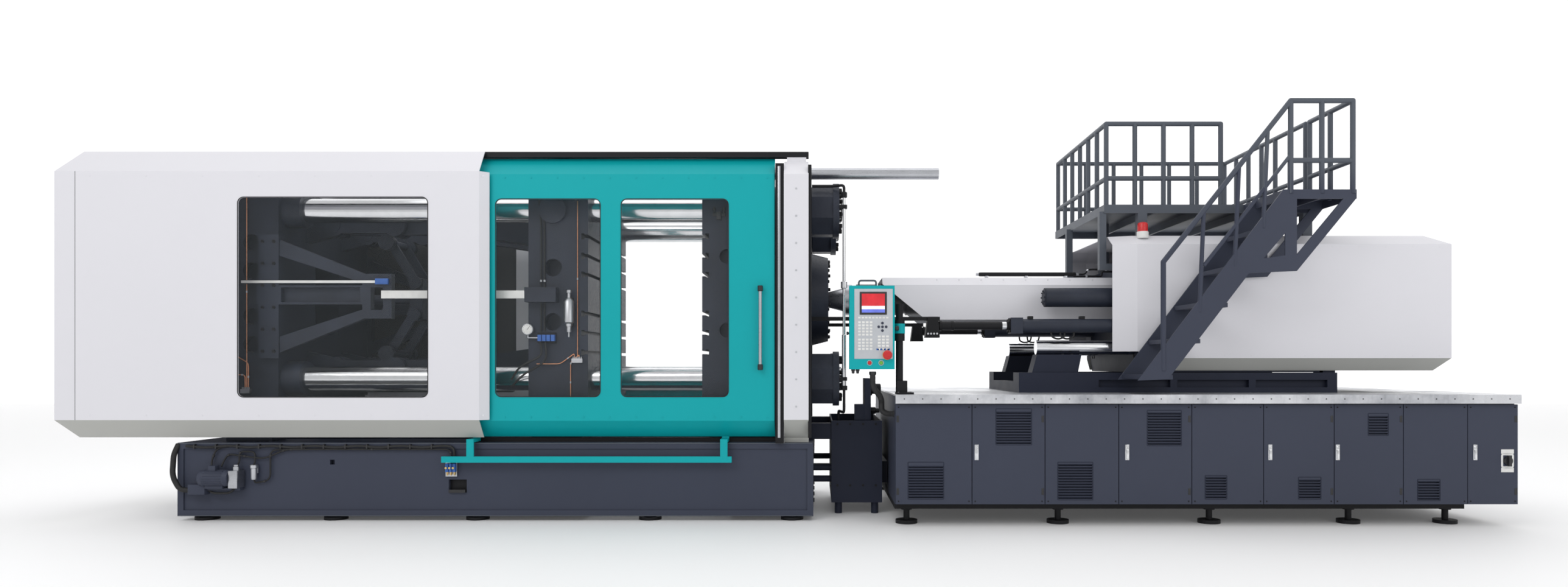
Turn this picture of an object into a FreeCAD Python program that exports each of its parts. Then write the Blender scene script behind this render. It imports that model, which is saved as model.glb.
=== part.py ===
import FreeCAD, Part
import math
import os
from FreeCAD import Vector as V

# Injection moulding machine, toggle clamp on the left (-X), injection unit on the right (+X).
# Millimetres, +Z up, operator side is -Y, origin on the floor at the middle of the outline.

# Overall
LEFT_END = -5955.0
RIGHT_END = 5955.0
DECK_HALF = 1350.0
AXIS_Z = 1915.0
SHEET = 8.0

# Clamp bed
BED_X0, BED_X1 = -5033.0, 280.0
BED_HALF = 1000.0
BED_Z0, BED_Z1 = 40.0, 653.0
BED_WALL = 40.0
BED_RIBS = (-3780.0, -2580.0, -1680.0, -440.0)
DROP_X0, DROP_X1 = -1640.0, -480.0

# Tie bars and platens
TIE_R = 105.0
TIE_Y = 650.0
TIE_Z = (1185.0, 2645.0)
TIE_FIT = 0.4
PLATEN_HALF = 830.0
PLATEN_Z0, PLATEN_Z1 = 1000.0, 2850.0
FIXED_X0, FIXED_X1 = -670.0, 268.0
FIXED_SLAB = 420.0
MOVING_X0, MOVING_X1 = -2154.0, -1645.0
REAR_X0, REAR_X1 = -4760.0, -4290.0
SLOT_Z = (1410.0, 1577.0, 1742.0, 2075.0, 2236.0, 2402.0)
FOOT_GAP = 2.0

# Toggle linkage, upper half; the lower half is its mirror image about the axis height
PIN_RISE = 640.0
REAR_PIN_X = -4020.0
KNUCKLE_X = -3480.0
FRONT_PIN_X = -2880.0
CROSS_JOINT = (-3620.0, 510.0)
CROSS_PIN = (-3400.0, 150.0)
PIN_R = 60.0
SMALL_PIN_R = 35.0
CHEEKS = ((220.0, 270.0), (370.0, 420.0))
TONGUE = (280.0, 360.0)
CROSS_LAYERS = ((130.0, 162.0), (168.0, 200.0))

EJECTOR_R = 20.0

# Covers and sliding safety doors
COVER_Y = 1150.0
COVER_X1 = -2465.0
COVER_Z = (700.0, 850.0, 2895.0, 3086.0)
COVER_TOP_IN = 140.0
COVER_LOW_IN = 120.0
DOOR_Y = 1060.0
DOOR_X0, DOOR_X1 = -2560.0, -42.0
DOOR_Z = (700.0, 840.0, 2888.0, 3040.0)
DOOR_IN = 130.0
POST_X0, POST_X1 = 37.0, 241.0
WINDOW_Z0, WINDOW_Z1 = 1042.0, 2678.0
WINDOW_R = 45.0
PANE = 6.0

# Injection bed, cabinet and deck
DECK_X0 = 940.0
DECK_Z0, DECK_Z1 = 993.0, 1065.0
DECK_PLATE = 12.0
DOOR_SEAMS = (942.0, 1559.0, 2147.0, 2740.0, 3328.0, 3906.0, 4475.0, 5031.0, 5548.0, 5955.0)
CABINET_Y = 1310.0
CABINET_THICK = 25.0
CABINET_Z0, CABINET_Z1 = 182.0, 985.0
LOUVRES = {1: (1049, 1326, 232, 516), 2: (1756, 2033, 668, 946), 3: (2254, 2526, 226, 516),
           4: (2974, 3239, 662, 933), 5: (3441, 3605, 232, 409), 6: (4192, 4362, 232, 396),
           7: (4753, 4905, 744, 908), 8: (5151, 5321, 220, 378)}

# Control panel swivels on this upright (x, y)
PANEL_POST = (985.0, -1180.0)

# Injection unit
RAIL_X0, RAIL_X1 = 2059.0, 4815.0
RAIL_TOP = 1237.0
ROD_Y, ROD_Z, ROD_R = 600.0, 1457.0, 62.5
SCREW_BORE = 62.5
BAR_R = 45.0
CYL_Y, CYL_Z, CYL_R = 560.0, 1898.0, 84.0
TOW_Y, TOW_Z, TOW_R = 650.0, 1645.0, 60.0
PLATFORM_POSTS = (3170.0, 4620.0)
SHROUD_Y = 800.0
SHROUD_X0, SHROUD_BEVEL, SHROUD_X1 = 2868.0, 3060.0, 5753.0
SHROUD_LEAN = 75.0
SHROUD_Z = (1255.0, 1362.0, 2340.0, 2430.0)
FLOOR_Z = 2711.0
FLOOR_X0, FLOOR_X1 = 2833.0, 4639.0
FLOOR_Y0, FLOOR_Y1 = -600.0, 1150.0
STAIR_Y0, STAIR_Y1 = -1340.0, -815.0
RAIL_TUBE = 21.0


def box(x0, x1, y0, y1, z0, z1):
    return Part.makeBox(x1 - x0, y1 - y0, z1 - z0, V(x0, y0, z0))


def rod_x(x0, x1, y, z, r):
    return Part.makeCylinder(r, x1 - x0, V(x0, y, z), V(1, 0, 0))


def rod_y(y0, y1, x, z, r):
    return Part.makeCylinder(r, y1 - y0, V(x, y0, z), V(0, 1, 0))


def rod_z(z0, z1, x, y, r):
    return Part.makeCylinder(r, z1 - z0, V(x, y, z0), V(0, 0, 1))


def cone_x(x0, x1, r0, r1, y=0.0, z=AXIS_Z):
    return Part.makeCone(r0, r1, x1 - x0, V(x0, y, z), V(1, 0, 0))


def bar(p, q, r):
    """Round bar from p to q."""
    a, b = V(*p), V(*q)
    return Part.makeCylinder(r, (b - a).Length, a, b - a)


def join(shapes):
    whole = shapes[0].fuse(shapes[1:]) if len(shapes) > 1 else shapes[0]
    return whole.removeSplitter()


def cut(shape, tools):
    return shape.cut(tools) if tools else shape


def face_of(points):
    return Part.Face(Part.makePolygon([V(*p) for p in points] + [V(*points[0])]))


def plate_xz(points, y0, y1):
    return face_of([(x, y0, z) for x, z in points]).extrude(V(0, y1 - y0, 0))


def plate_yz(points, x0, x1):
    return face_of([(x0, y, z) for y, z in points]).extrude(V(x1 - x0, 0, 0))


def plate_xy(points, z0, z1):
    return face_of([(x, y, z0) for x, y in points]).extrude(V(0, 0, z1 - z0))


def rounded_xz(x0, x1, z0, z1, r, y0, y1):
    """Block along Y whose four long edges are rounded."""
    block = box(x0, x1, y0, y1, z0, z1)
    edges = [e for e in block.Edges if abs(e.tangentAt(e.FirstParameter).y) > 0.99]
    return block.makeFillet(r, edges)


def flip_y(shape):
    return shape.mirror(V(0, 0, 0), V(0, 1, 0))


def flip_z(shape):
    return shape.mirror(V(0, 0, AXIS_Z), V(0, 0, 1))


def both_sides(shape):
    return [shape, flip_y(shape)]


def save(name, shapes):
    solids = [s for shape in shapes for s in shape.Solids]
    whole = solids[0] if len(solids) == 1 else Part.makeCompound(solids)
    bad = [s for s in solids if not s.isValid() or s.Volume <= 0]
    whole.exportStep("parts/%s.step" % name)
    print("%-24s %2d solid(s) %9.4f m3%s" % (name, len(solids), whole.Volume / 1e9, " BAD" if bad else ""))


def side_frames(y0, y1):
    """Strips that border the bed's side wall at its foot, head and right end."""
    strip = 50.0
    return [box(BED_X0, BED_X1, y0, y1, BED_Z0, BED_Z0 + strip),
            box(BED_X0, BED_X1, y0, y1, BED_Z1 - strip, BED_Z1),
            box(BED_X1 - strip, BED_X1, y0, y1, BED_Z0, BED_Z1),
            box(BED_X0, BED_X0 + strip, y0, y1, BED_Z0, BED_Z1)]


def make_clamp_bed():
    body = box(BED_X0, BED_X1, -BED_HALF, BED_HALF, BED_Z0, BED_Z1)
    inner, top = BED_HALF - BED_WALL, BED_Z1 - BED_WALL
    stops = [BED_X0 + BED_WALL] + [x for rib in BED_RIBS for x in (rib, rib + BED_WALL)] + [BED_X1 - BED_WALL]
    hollows = [box(stops[i], stops[i + 1], -inner, inner, 0, top) for i in range(0, len(stops), 2)]
    well = box(-4700, -2640, -560, 560, top - 10, BED_Z1 + 10)
    chute = box(DROP_X0, DROP_X1, -600, 600, top - 10, BED_Z1 + 10)
    hatch = box(-2770, -2620, -BED_HALF - 20, -inner + 5, 235, 345)
    port = box(-3765, -3725, -BED_HALF - 20, -inner + 5, 470, 510)
    body = cut(body, hollows + [well, chute])
    proud = 12.0
    frames = side_frames(-BED_HALF - proud, -BED_HALF) + side_frames(BED_HALF, BED_HALF + proud)
    save("clamp_bed", [cut(join([body] + frames), [hatch, port])])


def make_levelling_pads():
    pads = []
    for y in (-900, 900):
        for x in (-4850, -3760, -2560, -1100, 100):
            pads.append(join([rod_z(0, 26, x, y, 95), rod_z(26, BED_Z0, x, y, 60)]))
    for y in (-1100, 1100):
        for x in (1050, 2300, 3550, 4700, 5500):
            pads.append(join([rod_z(0, 30, x, y, 90), rod_z(30, 112, x, y, 25), rod_z(112, 130, x, y, 45)]))
    save("levelling_pads", pads)


def make_injection_bed():
    """Plates welded together: plinth bars, floor, spine and cross walls, each a solid of its own."""
    x0, x1, half = DOOR_SEAMS[0], 5945.0, 1280.0
    bar_z0, floor_z0, floor_z1, under_deck = 130.0, 179.0, 215.0, DECK_Z1 - DECK_PLATE
    spine_half, wall = 15.0, 24.0
    plinth = [box(945, 5594, s * 1120 - 80, s * 1120 + 80, bar_z0, floor_z0) for s in (-1, 1)]
    plinth += [box(x, x + 65, -1040, 1040, bar_z0, floor_z0) for x in (945, 5529)]
    floor = box(x0, x1, -half, half, floor_z0, floor_z1)
    spine = box(x0, x1, -spine_half, spine_half, floor_z1, under_deck)
    walls = []
    for x in (x0, 2135, 3316, 4463, 5536, 5921):
        walls += [box(x, x + wall, -half, -spine_half, floor_z1, under_deck),
                  box(x, x + wall, spine_half, half, floor_z1, under_deck)]
    save("injection_bed", plinth + [floor, spine] + walls)


def make_deck():
    """Tread plate with the edge strips that hang from it, each a solid of its own."""
    skirt = 10.0
    under, half = DECK_Z1 - DECK_PLATE, DECK_HALF - skirt
    edges = [box(DECK_X0, RIGHT_END, -DECK_HALF, -half, DECK_Z0, under),
             box(DECK_X0, RIGHT_END, half, DECK_HALF, DECK_Z0, under),
             box(RIGHT_END - skirt, RIGHT_END, -half, half, DECK_Z0, under)]
    save("deck_plate", [box(DECK_X0, RIGHT_END, -DECK_HALF, DECK_HALF, under, DECK_Z1)] + edges)


def louvre_slots(bounds, y0, y1):
    """Horizontal slots of one louvre field."""
    x0, x1, z0, z1 = bounds
    pitch, height = 22.0, 8.0
    rows = int((z1 - z0) / pitch)
    return [box(x0, x1, y0, y1, z0 + i * pitch, z0 + i * pitch + height) for i in range(rows)]


def cabinet_leaf(number):
    """Door leaf: a tray with its open side inward, so its edges are folded back."""
    gap, wall = 3.0, 3.0
    x0, x1 = DOOR_SEAMS[number - 1] + gap, DOOR_SEAMS[number] - gap
    leaf = box(x0, x1, -CABINET_Y, CABINET_THICK - CABINET_Y, CABINET_Z0, CABINET_Z1)
    tray = box(x0 + wall, x1 - wall, wall - CABINET_Y, CABINET_THICK + 5 - CABINET_Y,
               CABINET_Z0 + wall, CABINET_Z1 - wall)
    slots = louvre_slots(LOUVRES[number], -CABINET_Y - 5, wall + 2 - CABINET_Y) if number in LOUVRES else []
    return cut(leaf, [tray] + slots)


def make_cabinet():
    for number in range(1, len(DOOR_SEAMS)):
        save("cabinet_door_%d" % number, [cabinet_leaf(number)])
    save("rear_panels", [flip_y(cabinet_leaf(number)) for number in range(1, len(DOOR_SEAMS))])
    x, z, face = 5868, 532, -CABINET_Y
    grip = [rod_y(face - 18, face, x, z, 34), box(x - 11, x + 11, face - 38, face - 12, z - 42, z + 42)]
    save("switch_grip", [join(grip)])


def tie_bores(x0, x1, r=TIE_R + TIE_FIT):
    return [rod_x(x0, x1, y, z, r) for y in (-TIE_Y, TIE_Y) for z in TIE_Z]


def mould_slots(x0, x1):
    """T-slots across a mould face; the neck opens at the face x0 or x1 whichever is nearer."""
    neck, head = 28.0, 50.0
    inward = 1 if x1 > x0 else -1
    cuts = []
    for z in SLOT_Z:
        a, b, c = x0, x0 + inward * 30, x0 + inward * 58
        cuts.append(box(min(a, b), max(a, b), -900, 900, z - neck / 2, z + neck / 2))
        cuts.append(box(min(b, c), max(b, c), -900, 900, z - head / 2, z + head / 2))
    return cuts


def make_fixed_platen():
    slab = box(FIXED_X0, FIXED_X0 + FIXED_SLAB, -PLATEN_HALF, PLATEN_HALF, PLATEN_Z0, PLATEN_Z1)
    back = FIXED_X0 + FIXED_SLAB
    bosses = [rod_x(back - 5, FIXED_X1, y, z, 205) for y in (-TIE_Y, TIE_Y) for z in TIE_Z]
    walls = [box(back - 5, 240, y - 45, y + 45, TIE_Z[0], TIE_Z[1]) for y in (-TIE_Y, TIE_Y)]
    decks = [box(back - 5, 240, -TIE_Y, TIE_Y, z - 45, z + 45) for z in TIE_Z]
    dome = cone_x(back - 5, 415, 560, 390)
    webs = [box(back - 5, 200, -30, 30, TIE_Z[0], TIE_Z[1]), box(back - 5, 200, -TIE_Y, TIE_Y, 1885, 1945)]
    feet = [box(FIXED_X0 + 60, 200, y - 110, y + 110, BED_Z1, PLATEN_Z0 + 30) for y in (-640, 640)]
    body = join([slab, dome] + bosses + walls + decks + webs + feet)
    ring_seat = rod_x(FIXED_X0 - 1, FIXED_X0 + 40, 0, AXIS_Z, 100)
    throat = rod_x(FIXED_X0 - 1, -495, 0, AXIS_Z, 70)
    funnel = cone_x(-500, 416, 70, 330)
    pockets = [rod_y(-PLATEN_HALF - 1, 70 - PLATEN_HALF, -460, z, 62) for z in (1600, 2230)]
    pockets += [flip_y(p) for p in pockets]
    rod_guide = cut(box(150, 210, -540, -360, PLATEN_Z1 - 160, 3110), [rod_x(140, 220, -450, 3010, 54)])
    cuts = tie_bores(FIXED_X0 - 5, FIXED_X1 + 5, TIE_R) + mould_slots(FIXED_X0, FIXED_X0 + 60)
    stem = box(back - 5, 160, -500, -400, 2690, PLATEN_Z1)
    save("fixed_platen", [cut(join([body, stem, rod_guide]), cuts + [ring_seat, throat, funnel] + pockets)])


def make_tie_bars():
    save("tie_bars", [rod_x(-4930, 520, y, z, TIE_R) for y in (-TIE_Y, TIE_Y) for z in TIE_Z])
    nuts = []
    for y in (-TIE_Y, TIE_Y):
        for z in TIE_Z:
            flat = 215.0
            edge = flat * math.tan(math.pi / 8)
            outline = [(flat, edge), (edge, flat), (-edge, flat), (-flat, edge),
                       (-flat, -edge), (-edge, -flat), (edge, -flat), (flat, -edge)]
            housing = plate_yz([(y + a, z + b) for a, b in outline], FIXED_X1, 449)
            flange = rod_x(449, 502, y, z, 236)
            nuts.append(cut(join([housing, flange]), [rod_x(FIXED_X1 - 5, 510, y, z, TIE_R)]))
    save("tie_bar_nuts", nuts)


def platen_foot(x0, x1):
    return [box(x0, x1, y - 110, y + 110, BED_Z1 + FOOT_GAP, PLATEN_Z0 + 30) for y in (-745, 745)]


def hinge_eye(x, z, r, y0, y1):
    return rod_y(y0, y1, x, z, r)


def lug(x_root, x_pin, z_pin, y0, y1, rise=150.0, eye=105.0):
    """Lug that tapers from a platen to the eye of a toggle pin."""
    web = plate_xz([(x_root, z_pin - rise), (x_root, z_pin + rise), (x_pin, z_pin + eye * 0.8),
                    (x_pin, z_pin - eye * 0.8)], y0, y1)
    return join([web, hinge_eye(x_pin, z_pin, eye, y0, y1)])


def mirrored_lugs(make):
    upper = make()
    halves = [upper, flip_z(upper)]
    return halves + [flip_y(s) for s in halves]


def make_rear_platen():
    slab = box(REAR_X0, REAR_X1, -PLATEN_HALF, PLATEN_HALF, PLATEN_Z0, PLATEN_Z1)
    bosses = [rod_x(REAR_X1 - 5, -4130, y, z, 150) for y in (-TIE_Y, TIE_Y) for z in TIE_Z]
    upper_pin = AXIS_Z + PIN_RISE
    lugs = mirrored_lugs(lambda: lug(REAR_X1 - 5, REAR_PIN_X, upper_pin, *TONGUE))
    feet = platen_foot(REAR_X0 + 40, REAR_X1 - 40)
    body = join([slab] + bosses + lugs + feet)
    pocket = box(-4540, REAR_X1 + 5, -214, 214, AXIS_Z - 330, AXIS_Z + 330)
    stem_bore = rod_x(REAR_X0 - 5, -4530, 0, AXIS_Z, 50)
    pins = [rod_y(-440, 440, REAR_PIN_X, z, PIN_R + 0.3) for z in (upper_pin, 2 * AXIS_Z - upper_pin)]
    hollows = [rod_y(-PLATEN_HALF - 1, 80 - PLATEN_HALF, -4520, z, 70) for z in (1480, 1720, 2110, 2350)]
    hollows += [flip_y(h) for h in hollows]
    save("rear_platen", [cut(body, [pocket, stem_bore] + pins + hollows + tie_bores(REAR_X0 - 5, -4120))])
    nuts = []
    for y in (-TIE_Y, TIE_Y):
        for z in TIE_Z:
            sprocket = rod_x(REAR_X0 - 60, REAR_X0 - 30, y, z, 190)
            nut = join([rod_x(REAR_X0 - 90, REAR_X0, y, z, 150), sprocket])
            nuts.append(cut(nut, [rod_x(REAR_X0 - 95, REAR_X0 + 5, y, z, TIE_R + TIE_FIT)]))
    save("adjusting_nuts", nuts)


def make_guide_brackets():
    """Triangular side brackets of the rear platen with the beam that carries the stroke scale."""
    upper_arm = [(REAR_X1 - 20, 2390), (REAR_X1 - 20, 2250), (-3500, 1985), (-3500, 2065)]
    lower_arm = [(x, 2 * 1887 - z) for x, z in upper_arm]
    y0, y1 = -900, -PLATEN_HALF
    root = box(-4420, -4250, y0, y1, 1360, 2410)
    nose = box(-3541, -3294, y0, y1, 1697, 2076)
    beam = box(-4439, -3500, y0, y1, 1817, 1978)
    arms = [plate_xz(upper_arm, y0 + 15, y1), plate_xz(lower_arm, y0 + 15, y1)]
    scale_rail = box(-4571, -3316, y0 - 3, y0 + 28, 1992, 2022)
    channel = box(-4230, -3560, y0 - 1, y0 + 50, 1835, 1960)
    window = box(-3470, -3365, y0 - 1, y1 + 1, 1770, 1960)
    save("guide_brackets", both_sides(cut(join([root, nose, beam] + arms + [scale_rail]), [channel, window])))


def make_clamp_cylinder():
    tube = cut(rod_x(-5920, REAR_X0, 0, AXIS_Z, 120), [rod_x(-5913, -4800, 0, AXIS_Z, 92)])
    tube = cut(tube, [rod_x(-4810, REAR_X0 + 5, 0, AXIS_Z, 50)])
    flange_bore = rod_x(REAR_X0 - 60, REAR_X0 + 5, 0, AXIS_Z, 100)
    flange = cut(rod_x(REAR_X0 - 50, REAR_X0, 0, AXIS_Z, 190), [flange_bore])
    save("clamp_cylinder", [join([tube, flange])])


def make_crosshead():
    block = box(-3460, -3340, -125, 125, AXIS_Z - 185, AXIS_Z + 185)
    stem = rod_x(-4810, -3459, 0, AXIS_Z, 45)
    piston = rod_x(-4855, -4805, 0, AXIS_Z, 91.5)
    hubs = [rod_y(-128, 128, CROSS_PIN[0], AXIS_Z + s * CROSS_PIN[1], 52) for s in (-1, 1)]
    save("crosshead", [join([block, stem, piston] + hubs)])


def link_plate(x0, z0, x1, z1, eye, y0, y1, waist=0.72):
    """Flat link whose two round eyes are joined by a straight-sided web."""
    dx, dz = x1 - x0, z1 - z0
    length = math.hypot(dx, dz)
    nx, nz = -dz / length * eye * waist, dx / length * eye * waist
    web = plate_xz([(x0 + nx, z0 + nz), (x1 + nx, z1 + nz), (x1 - nx, z1 - nz), (x0 - nx, z0 - nz)], y0, y1)
    return join([web, hinge_eye(x0, z0, eye, y0, y1), hinge_eye(x1, z1, eye, y0, y1)])


def make_rear_link():
    pin_z = AXIS_Z + PIN_RISE
    q_x, q_z = CROSS_JOINT[0], AXIS_Z + CROSS_JOINT[1]
    parts = []
    for side in (-1, 1):
        for y0, y1 in CHEEKS:
            lo, hi = sorted((side * y0, side * y1))
            parts.append(link_plate(REAR_PIN_X, pin_z, KNUCKLE_X, pin_z, 98, lo, hi))
            if y0 < TONGUE[0]:
                parts.append(hinge_eye(q_x, q_z, 72, lo, hi))
        parts.append(rod_y(*sorted((side * 215, side * 426)), REAR_PIN_X, pin_z, PIN_R))
    tube = [rod_y(-225, 225, REAR_PIN_X + 200, pin_z + 10, 34)]
    link = join(parts + tube)
    bore = [rod_y(-300, 300, q_x, q_z, SMALL_PIN_R + 0.3)]
    return cut(link, bore)


def make_front_link():
    pin_z = AXIS_Z + PIN_RISE
    parts = []
    for side in (-1, 1):
        lo, hi = sorted((side * TONGUE[0], side * TONGUE[1]))
        parts.append(link_plate(KNUCKLE_X, pin_z, FRONT_PIN_X, pin_z, 95, lo, hi, 0.8))
        parts.append(rod_y(*sorted((side * 215, side * 426)), FRONT_PIN_X, pin_z, PIN_R))
    parts.append(rod_y(-285, 285, FRONT_PIN_X - 250, pin_z, 40))
    return join(parts)


def make_cross_link(layer):
    q_x, q_z = CROSS_JOINT[0], AXIS_Z + CROSS_JOINT[1]
    p_x, p_z = CROSS_PIN[0], AXIS_Z + CROSS_PIN[1]
    parts = []
    for side in (-1, 1):
        lo, hi = sorted((side * layer[0], side * layer[1]))
        parts.append(link_plate(q_x, q_z, p_x, p_z, 56, lo, hi))
    parts.append(rod_y(-268, 268, q_x, q_z, SMALL_PIN_R))
    return join(parts)


def make_toggle():
    for name, make in (("rear_link", make_rear_link), ("front_link", make_front_link)):
        upper = make()
        save(name + "_upper", [upper])
        save(name + "_lower", [flip_z(upper)])
    save("crosshead_link_upper", [make_cross_link(CROSS_LAYERS[0])])
    save("crosshead_link_lower", [flip_z(make_cross_link(CROSS_LAYERS[1]))])


def make_moving_platen():
    slab = box(MOVING_X0, MOVING_X1, -PLATEN_HALF, PLATEN_HALF, PLATEN_Z0, PLATEN_Z1)
    upper_pin = AXIS_Z + PIN_RISE
    lugs = [s for y0, y1 in CHEEKS
            for s in mirrored_lugs(lambda: lug(MOVING_X0 + 5, FRONT_PIN_X, upper_pin, y0, y1, 190.0))]
    domes = [rod_y(y, y + 30, -1944, 2626, 115) for y in (-PLATEN_HALF - 30, PLATEN_HALF)]
    body = join([slab] + lugs + domes + platen_foot(MOVING_X0 + 40, MOVING_X1 - 40))
    pins = [rod_y(-440, 440, FRONT_PIN_X, z, PIN_R + 0.3) for z in (upper_pin, 2 * AXIS_Z - upper_pin)]
    cores = [rod_y(-PLATEN_HALF - 1, 110 - PLATEN_HALF, -1944, z, 75) for z in (1672, 2135)]
    cores += [flip_y(c) for c in cores]
    ejector_bores = [rod_x(MOVING_X0 - 5, MOVING_X1 + 5, y, z, EJECTOR_R + 2) for y, z in ejector_places()]
    cuts = pins + cores + ejector_bores + mould_slots(MOVING_X1, MOVING_X1 - 60)
    save("moving_platen", [cut(body, cuts + tie_bores(MOVING_X0 - 5, MOVING_X1 + 5))])


def ejector_places():
    return [(y, AXIS_Z + z) for y in (-120, 120) for z in (-160, 160)]


def make_ejector():
    plate = box(-2330, -2280, -200, 200, AXIS_Z - 240, AXIS_Z + 240)
    rods = [rod_x(-2281, -1655, y, z, EJECTOR_R) for y, z in ejector_places()]
    save("ejector_plate", [join([plate] + rods)])


def make_moving_fittings():
    strip = box(-3370, -2160, -926, -904, 1866, 1932)
    bracket = box(-2161, -1896, -926, -PLATEN_HALF, 1836, 1960)
    save("position_bar", [join([strip, bracket])])
    stand = box(-2000, -1900, -520, -380, PLATEN_Z1, 3080)
    save("safety_rod", [join([stand, rod_x(-1990, 1396, -450, 3010, 52)])])


def hood(x0, x1, half, levels, left=True, right=False):
    """Straight-sided body whose faces lean inward between the given heights."""
    rings = []
    for z, inset in levels:
        a, b = x0 + (inset if left else 0), x1 - (inset if right else 0)
        y = half - inset
        rings.append(Part.makePolygon([V(a, -y, z), V(b, -y, z), V(b, y, z), V(a, y, z), V(a, -y, z)]))
    return Part.makeLoft(rings, True, True)


def make_clamp_covers():
    levels = list(zip(COVER_Z, (COVER_LOW_IN, 0, 0, COVER_TOP_IN)))
    outer = hood(LEFT_END, COVER_X1, COVER_Y, levels)
    inner = hood(LEFT_END + SHEET, COVER_X1 + 50, COVER_Y - SHEET, levels)
    shell = outer.cut(inner)
    window = rounded_xz(-4445, -2890, WINDOW_Z0, WINDOW_Z1, WINDOW_R, -1300, 1300)
    seam = LEFT_END + 170
    lip = plate_xy([(COVER_X1 - 5, -COVER_Y), (COVER_X1, -COVER_Y), (-2400, -1095), (-2400, -1085),
                    (COVER_X1 - 5, -COVER_Y + SHEET)], COVER_Z[1], COVER_Z[2])
    front = shell.common(box(seam, COVER_X1, -1200, 0, 600, 3200)).cut(window)
    front = join([front, lip])
    save("clamp_cover_front", [front])
    save("clamp_cover_back", [flip_y(front)])
    save("clamp_cover_end", [shell.common(box(LEFT_END - 10, seam, -1200, 1200, 600, 3200))])
    pane = rounded_xz(-4470, -2865, WINDOW_Z0 - 25, WINDOW_Z1 + 25, WINDOW_R, -COVER_Y + SHEET,
                      -COVER_Y + SHEET + PANE)
    save("cover_windows", both_sides(pane))


def folded_panel(y, z, inset):
    """Section in YZ of a sheet panel whose head and foot lean inward."""
    z0, z1, z2, z3 = z
    lean = SHEET + 3
    return [(inset - y, z0), (-y, z1), (-y, z2), (inset - y, z3), (inset - y + lean, z3),
            (SHEET - y, z2 - 3), (SHEET - y, z1 + 3), (inset - y + lean, z0)]


def make_safety_doors():
    z0, z1, z2, z3 = DOOR_Z
    skin = plate_yz(folded_panel(DOOR_Y, DOOR_Z, DOOR_IN), DOOR_X0, DOOR_X1)
    cheek = [(DOOR_IN - DOOR_Y, z0), (-DOOR_Y, z1), (-DOOR_Y, z2), (DOOR_IN - DOOR_Y, z3)]
    ends = [plate_yz(cheek, x, x + SHEET) for x in (DOOR_X0, DOOR_X1 - SHEET)]
    bar_run = box(-2798, -396, -1095, -1065, 495, 545)
    hangers = []
    for x in (-2590, -490):
        hangers += [box(x, x + 60, -1095, -1080, 540, 688), box(x, x + 60, -1095, -920, 662, 688),
                    box(x, x + 60, -930, -920, 662, 740)]
    blank = join([skin] + ends + hangers + [bar_run])
    front_spans, back_spans = ((-2356, -1493), (-1313, -428)), ((-2356, -428),)
    for name, spans, turned in (("front_door", front_spans, False), ("back_door", back_spans, True)):
        windows = [rounded_xz(a, b, WINDOW_Z0, WINDOW_Z1, WINDOW_R, -1200, -1000) for a, b in spans]
        panes = [rounded_xz(a - 25, b + 25, WINDOW_Z0 - 25, WINDOW_Z1 + 25, WINDOW_R, SHEET - DOOR_Y,
                            SHEET + PANE - DOOR_Y) for a, b in spans]
        door = cut(blank, windows)
        save(name, [flip_y(door) if turned else door])
        save(name + "_windows", [flip_y(p) if turned else p for p in panes])


def make_door_frame():
    """Posts beside the doors and the rails over and under them, on both sides of the machine."""
    outline = [(-900, BED_Z1), (-950, BED_Z1), (-950, 690), (-1110, 850), (-1110, 2880), (-980, 3008),
               (-900, 3008)]
    hollow = [(-890, 700), (-946, 700), (-1102, 856), (-1102, 2874), (-977, 2998), (-890, 2998)]
    post = cut(plate_yz(outline, POST_X0, POST_X1), [plate_yz(hollow, POST_X0 + SHEET, POST_X1 - SHEET)])
    jamb = box(-34, POST_X0, -1080, -1000, BED_Z1, 2975)
    tie = box(-34, POST_X0 + SHEET, -1000, -930, 2880, 2975)
    head = box(60, 220, -980, -905, 3008, 3045)
    upper = box(-4760, POST_X1, -985, -905, 3045, 3090)
    lower = box(-2560, -34, -900, -868, BED_Z1, 690)
    save("door_frame", both_sides(join([post, jamb, tie, head, upper])) + both_sides(lower))


def make_control_panel():
    x0, x1, z0, z1, y0, y1 = 572, 937, 1268, 1943, -1300, -1200
    wall = 4.0
    inside = box(x0 + wall, x1 - wall, y0 + wall, y1 - wall, z0 + wall, z1 - wall)
    shell = cut(box(x0, x1, y0, y1, z0, z1), [inside,
                                              box(700, 820, y0 + 30, y1 - 30, z0 - 1, z0 + wall + 1)])
    arm = box(x1 - 60, 975, y1, y1 + 30, 1560, 1640)
    sleeve = cut(rod_z(1560, 1640, PANEL_POST[0], PANEL_POST[1], 46), [rod_z(1550, 1650, *PANEL_POST, 30.5)])
    arm = cut(arm, [rod_z(1550, 1650, *PANEL_POST, 40)])
    bores = [rod_y(y0 - 1, y0 + wall + 1, x, z, 14.5) for x, z in ((877, 1383), (828, 1320), (735, 1320))]
    wells = [cut(rod_y(y0 + 1, y0 + 40, x, z, 20), [rod_y(y0 - 1, y0 + 50, x, z, 14.5)])
             for x, z in ((877, 1383), (828, 1320), (735, 1320))]
    save("control_panel", [join([cut(join([shell, arm, sleeve]), bores)] + wells)])
    save("emergency_stop", [join([rod_y(-1324, y0 + 30, 877, 1383, 14),
                                  Part.makeCone(30, 37.5, 12, V(877, -1324, 1383), V(0, -1, 0)),
                                  Part.makeCone(37.5, 26, 10, V(877, -1336, 1383), V(0, -1, 0))])])
    for name, x in (("start_button", 828), ("stop_button", 735)):
        save(name, [rod_y(y0 - 10, y0 + 30, x, 1320, 14)])


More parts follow.
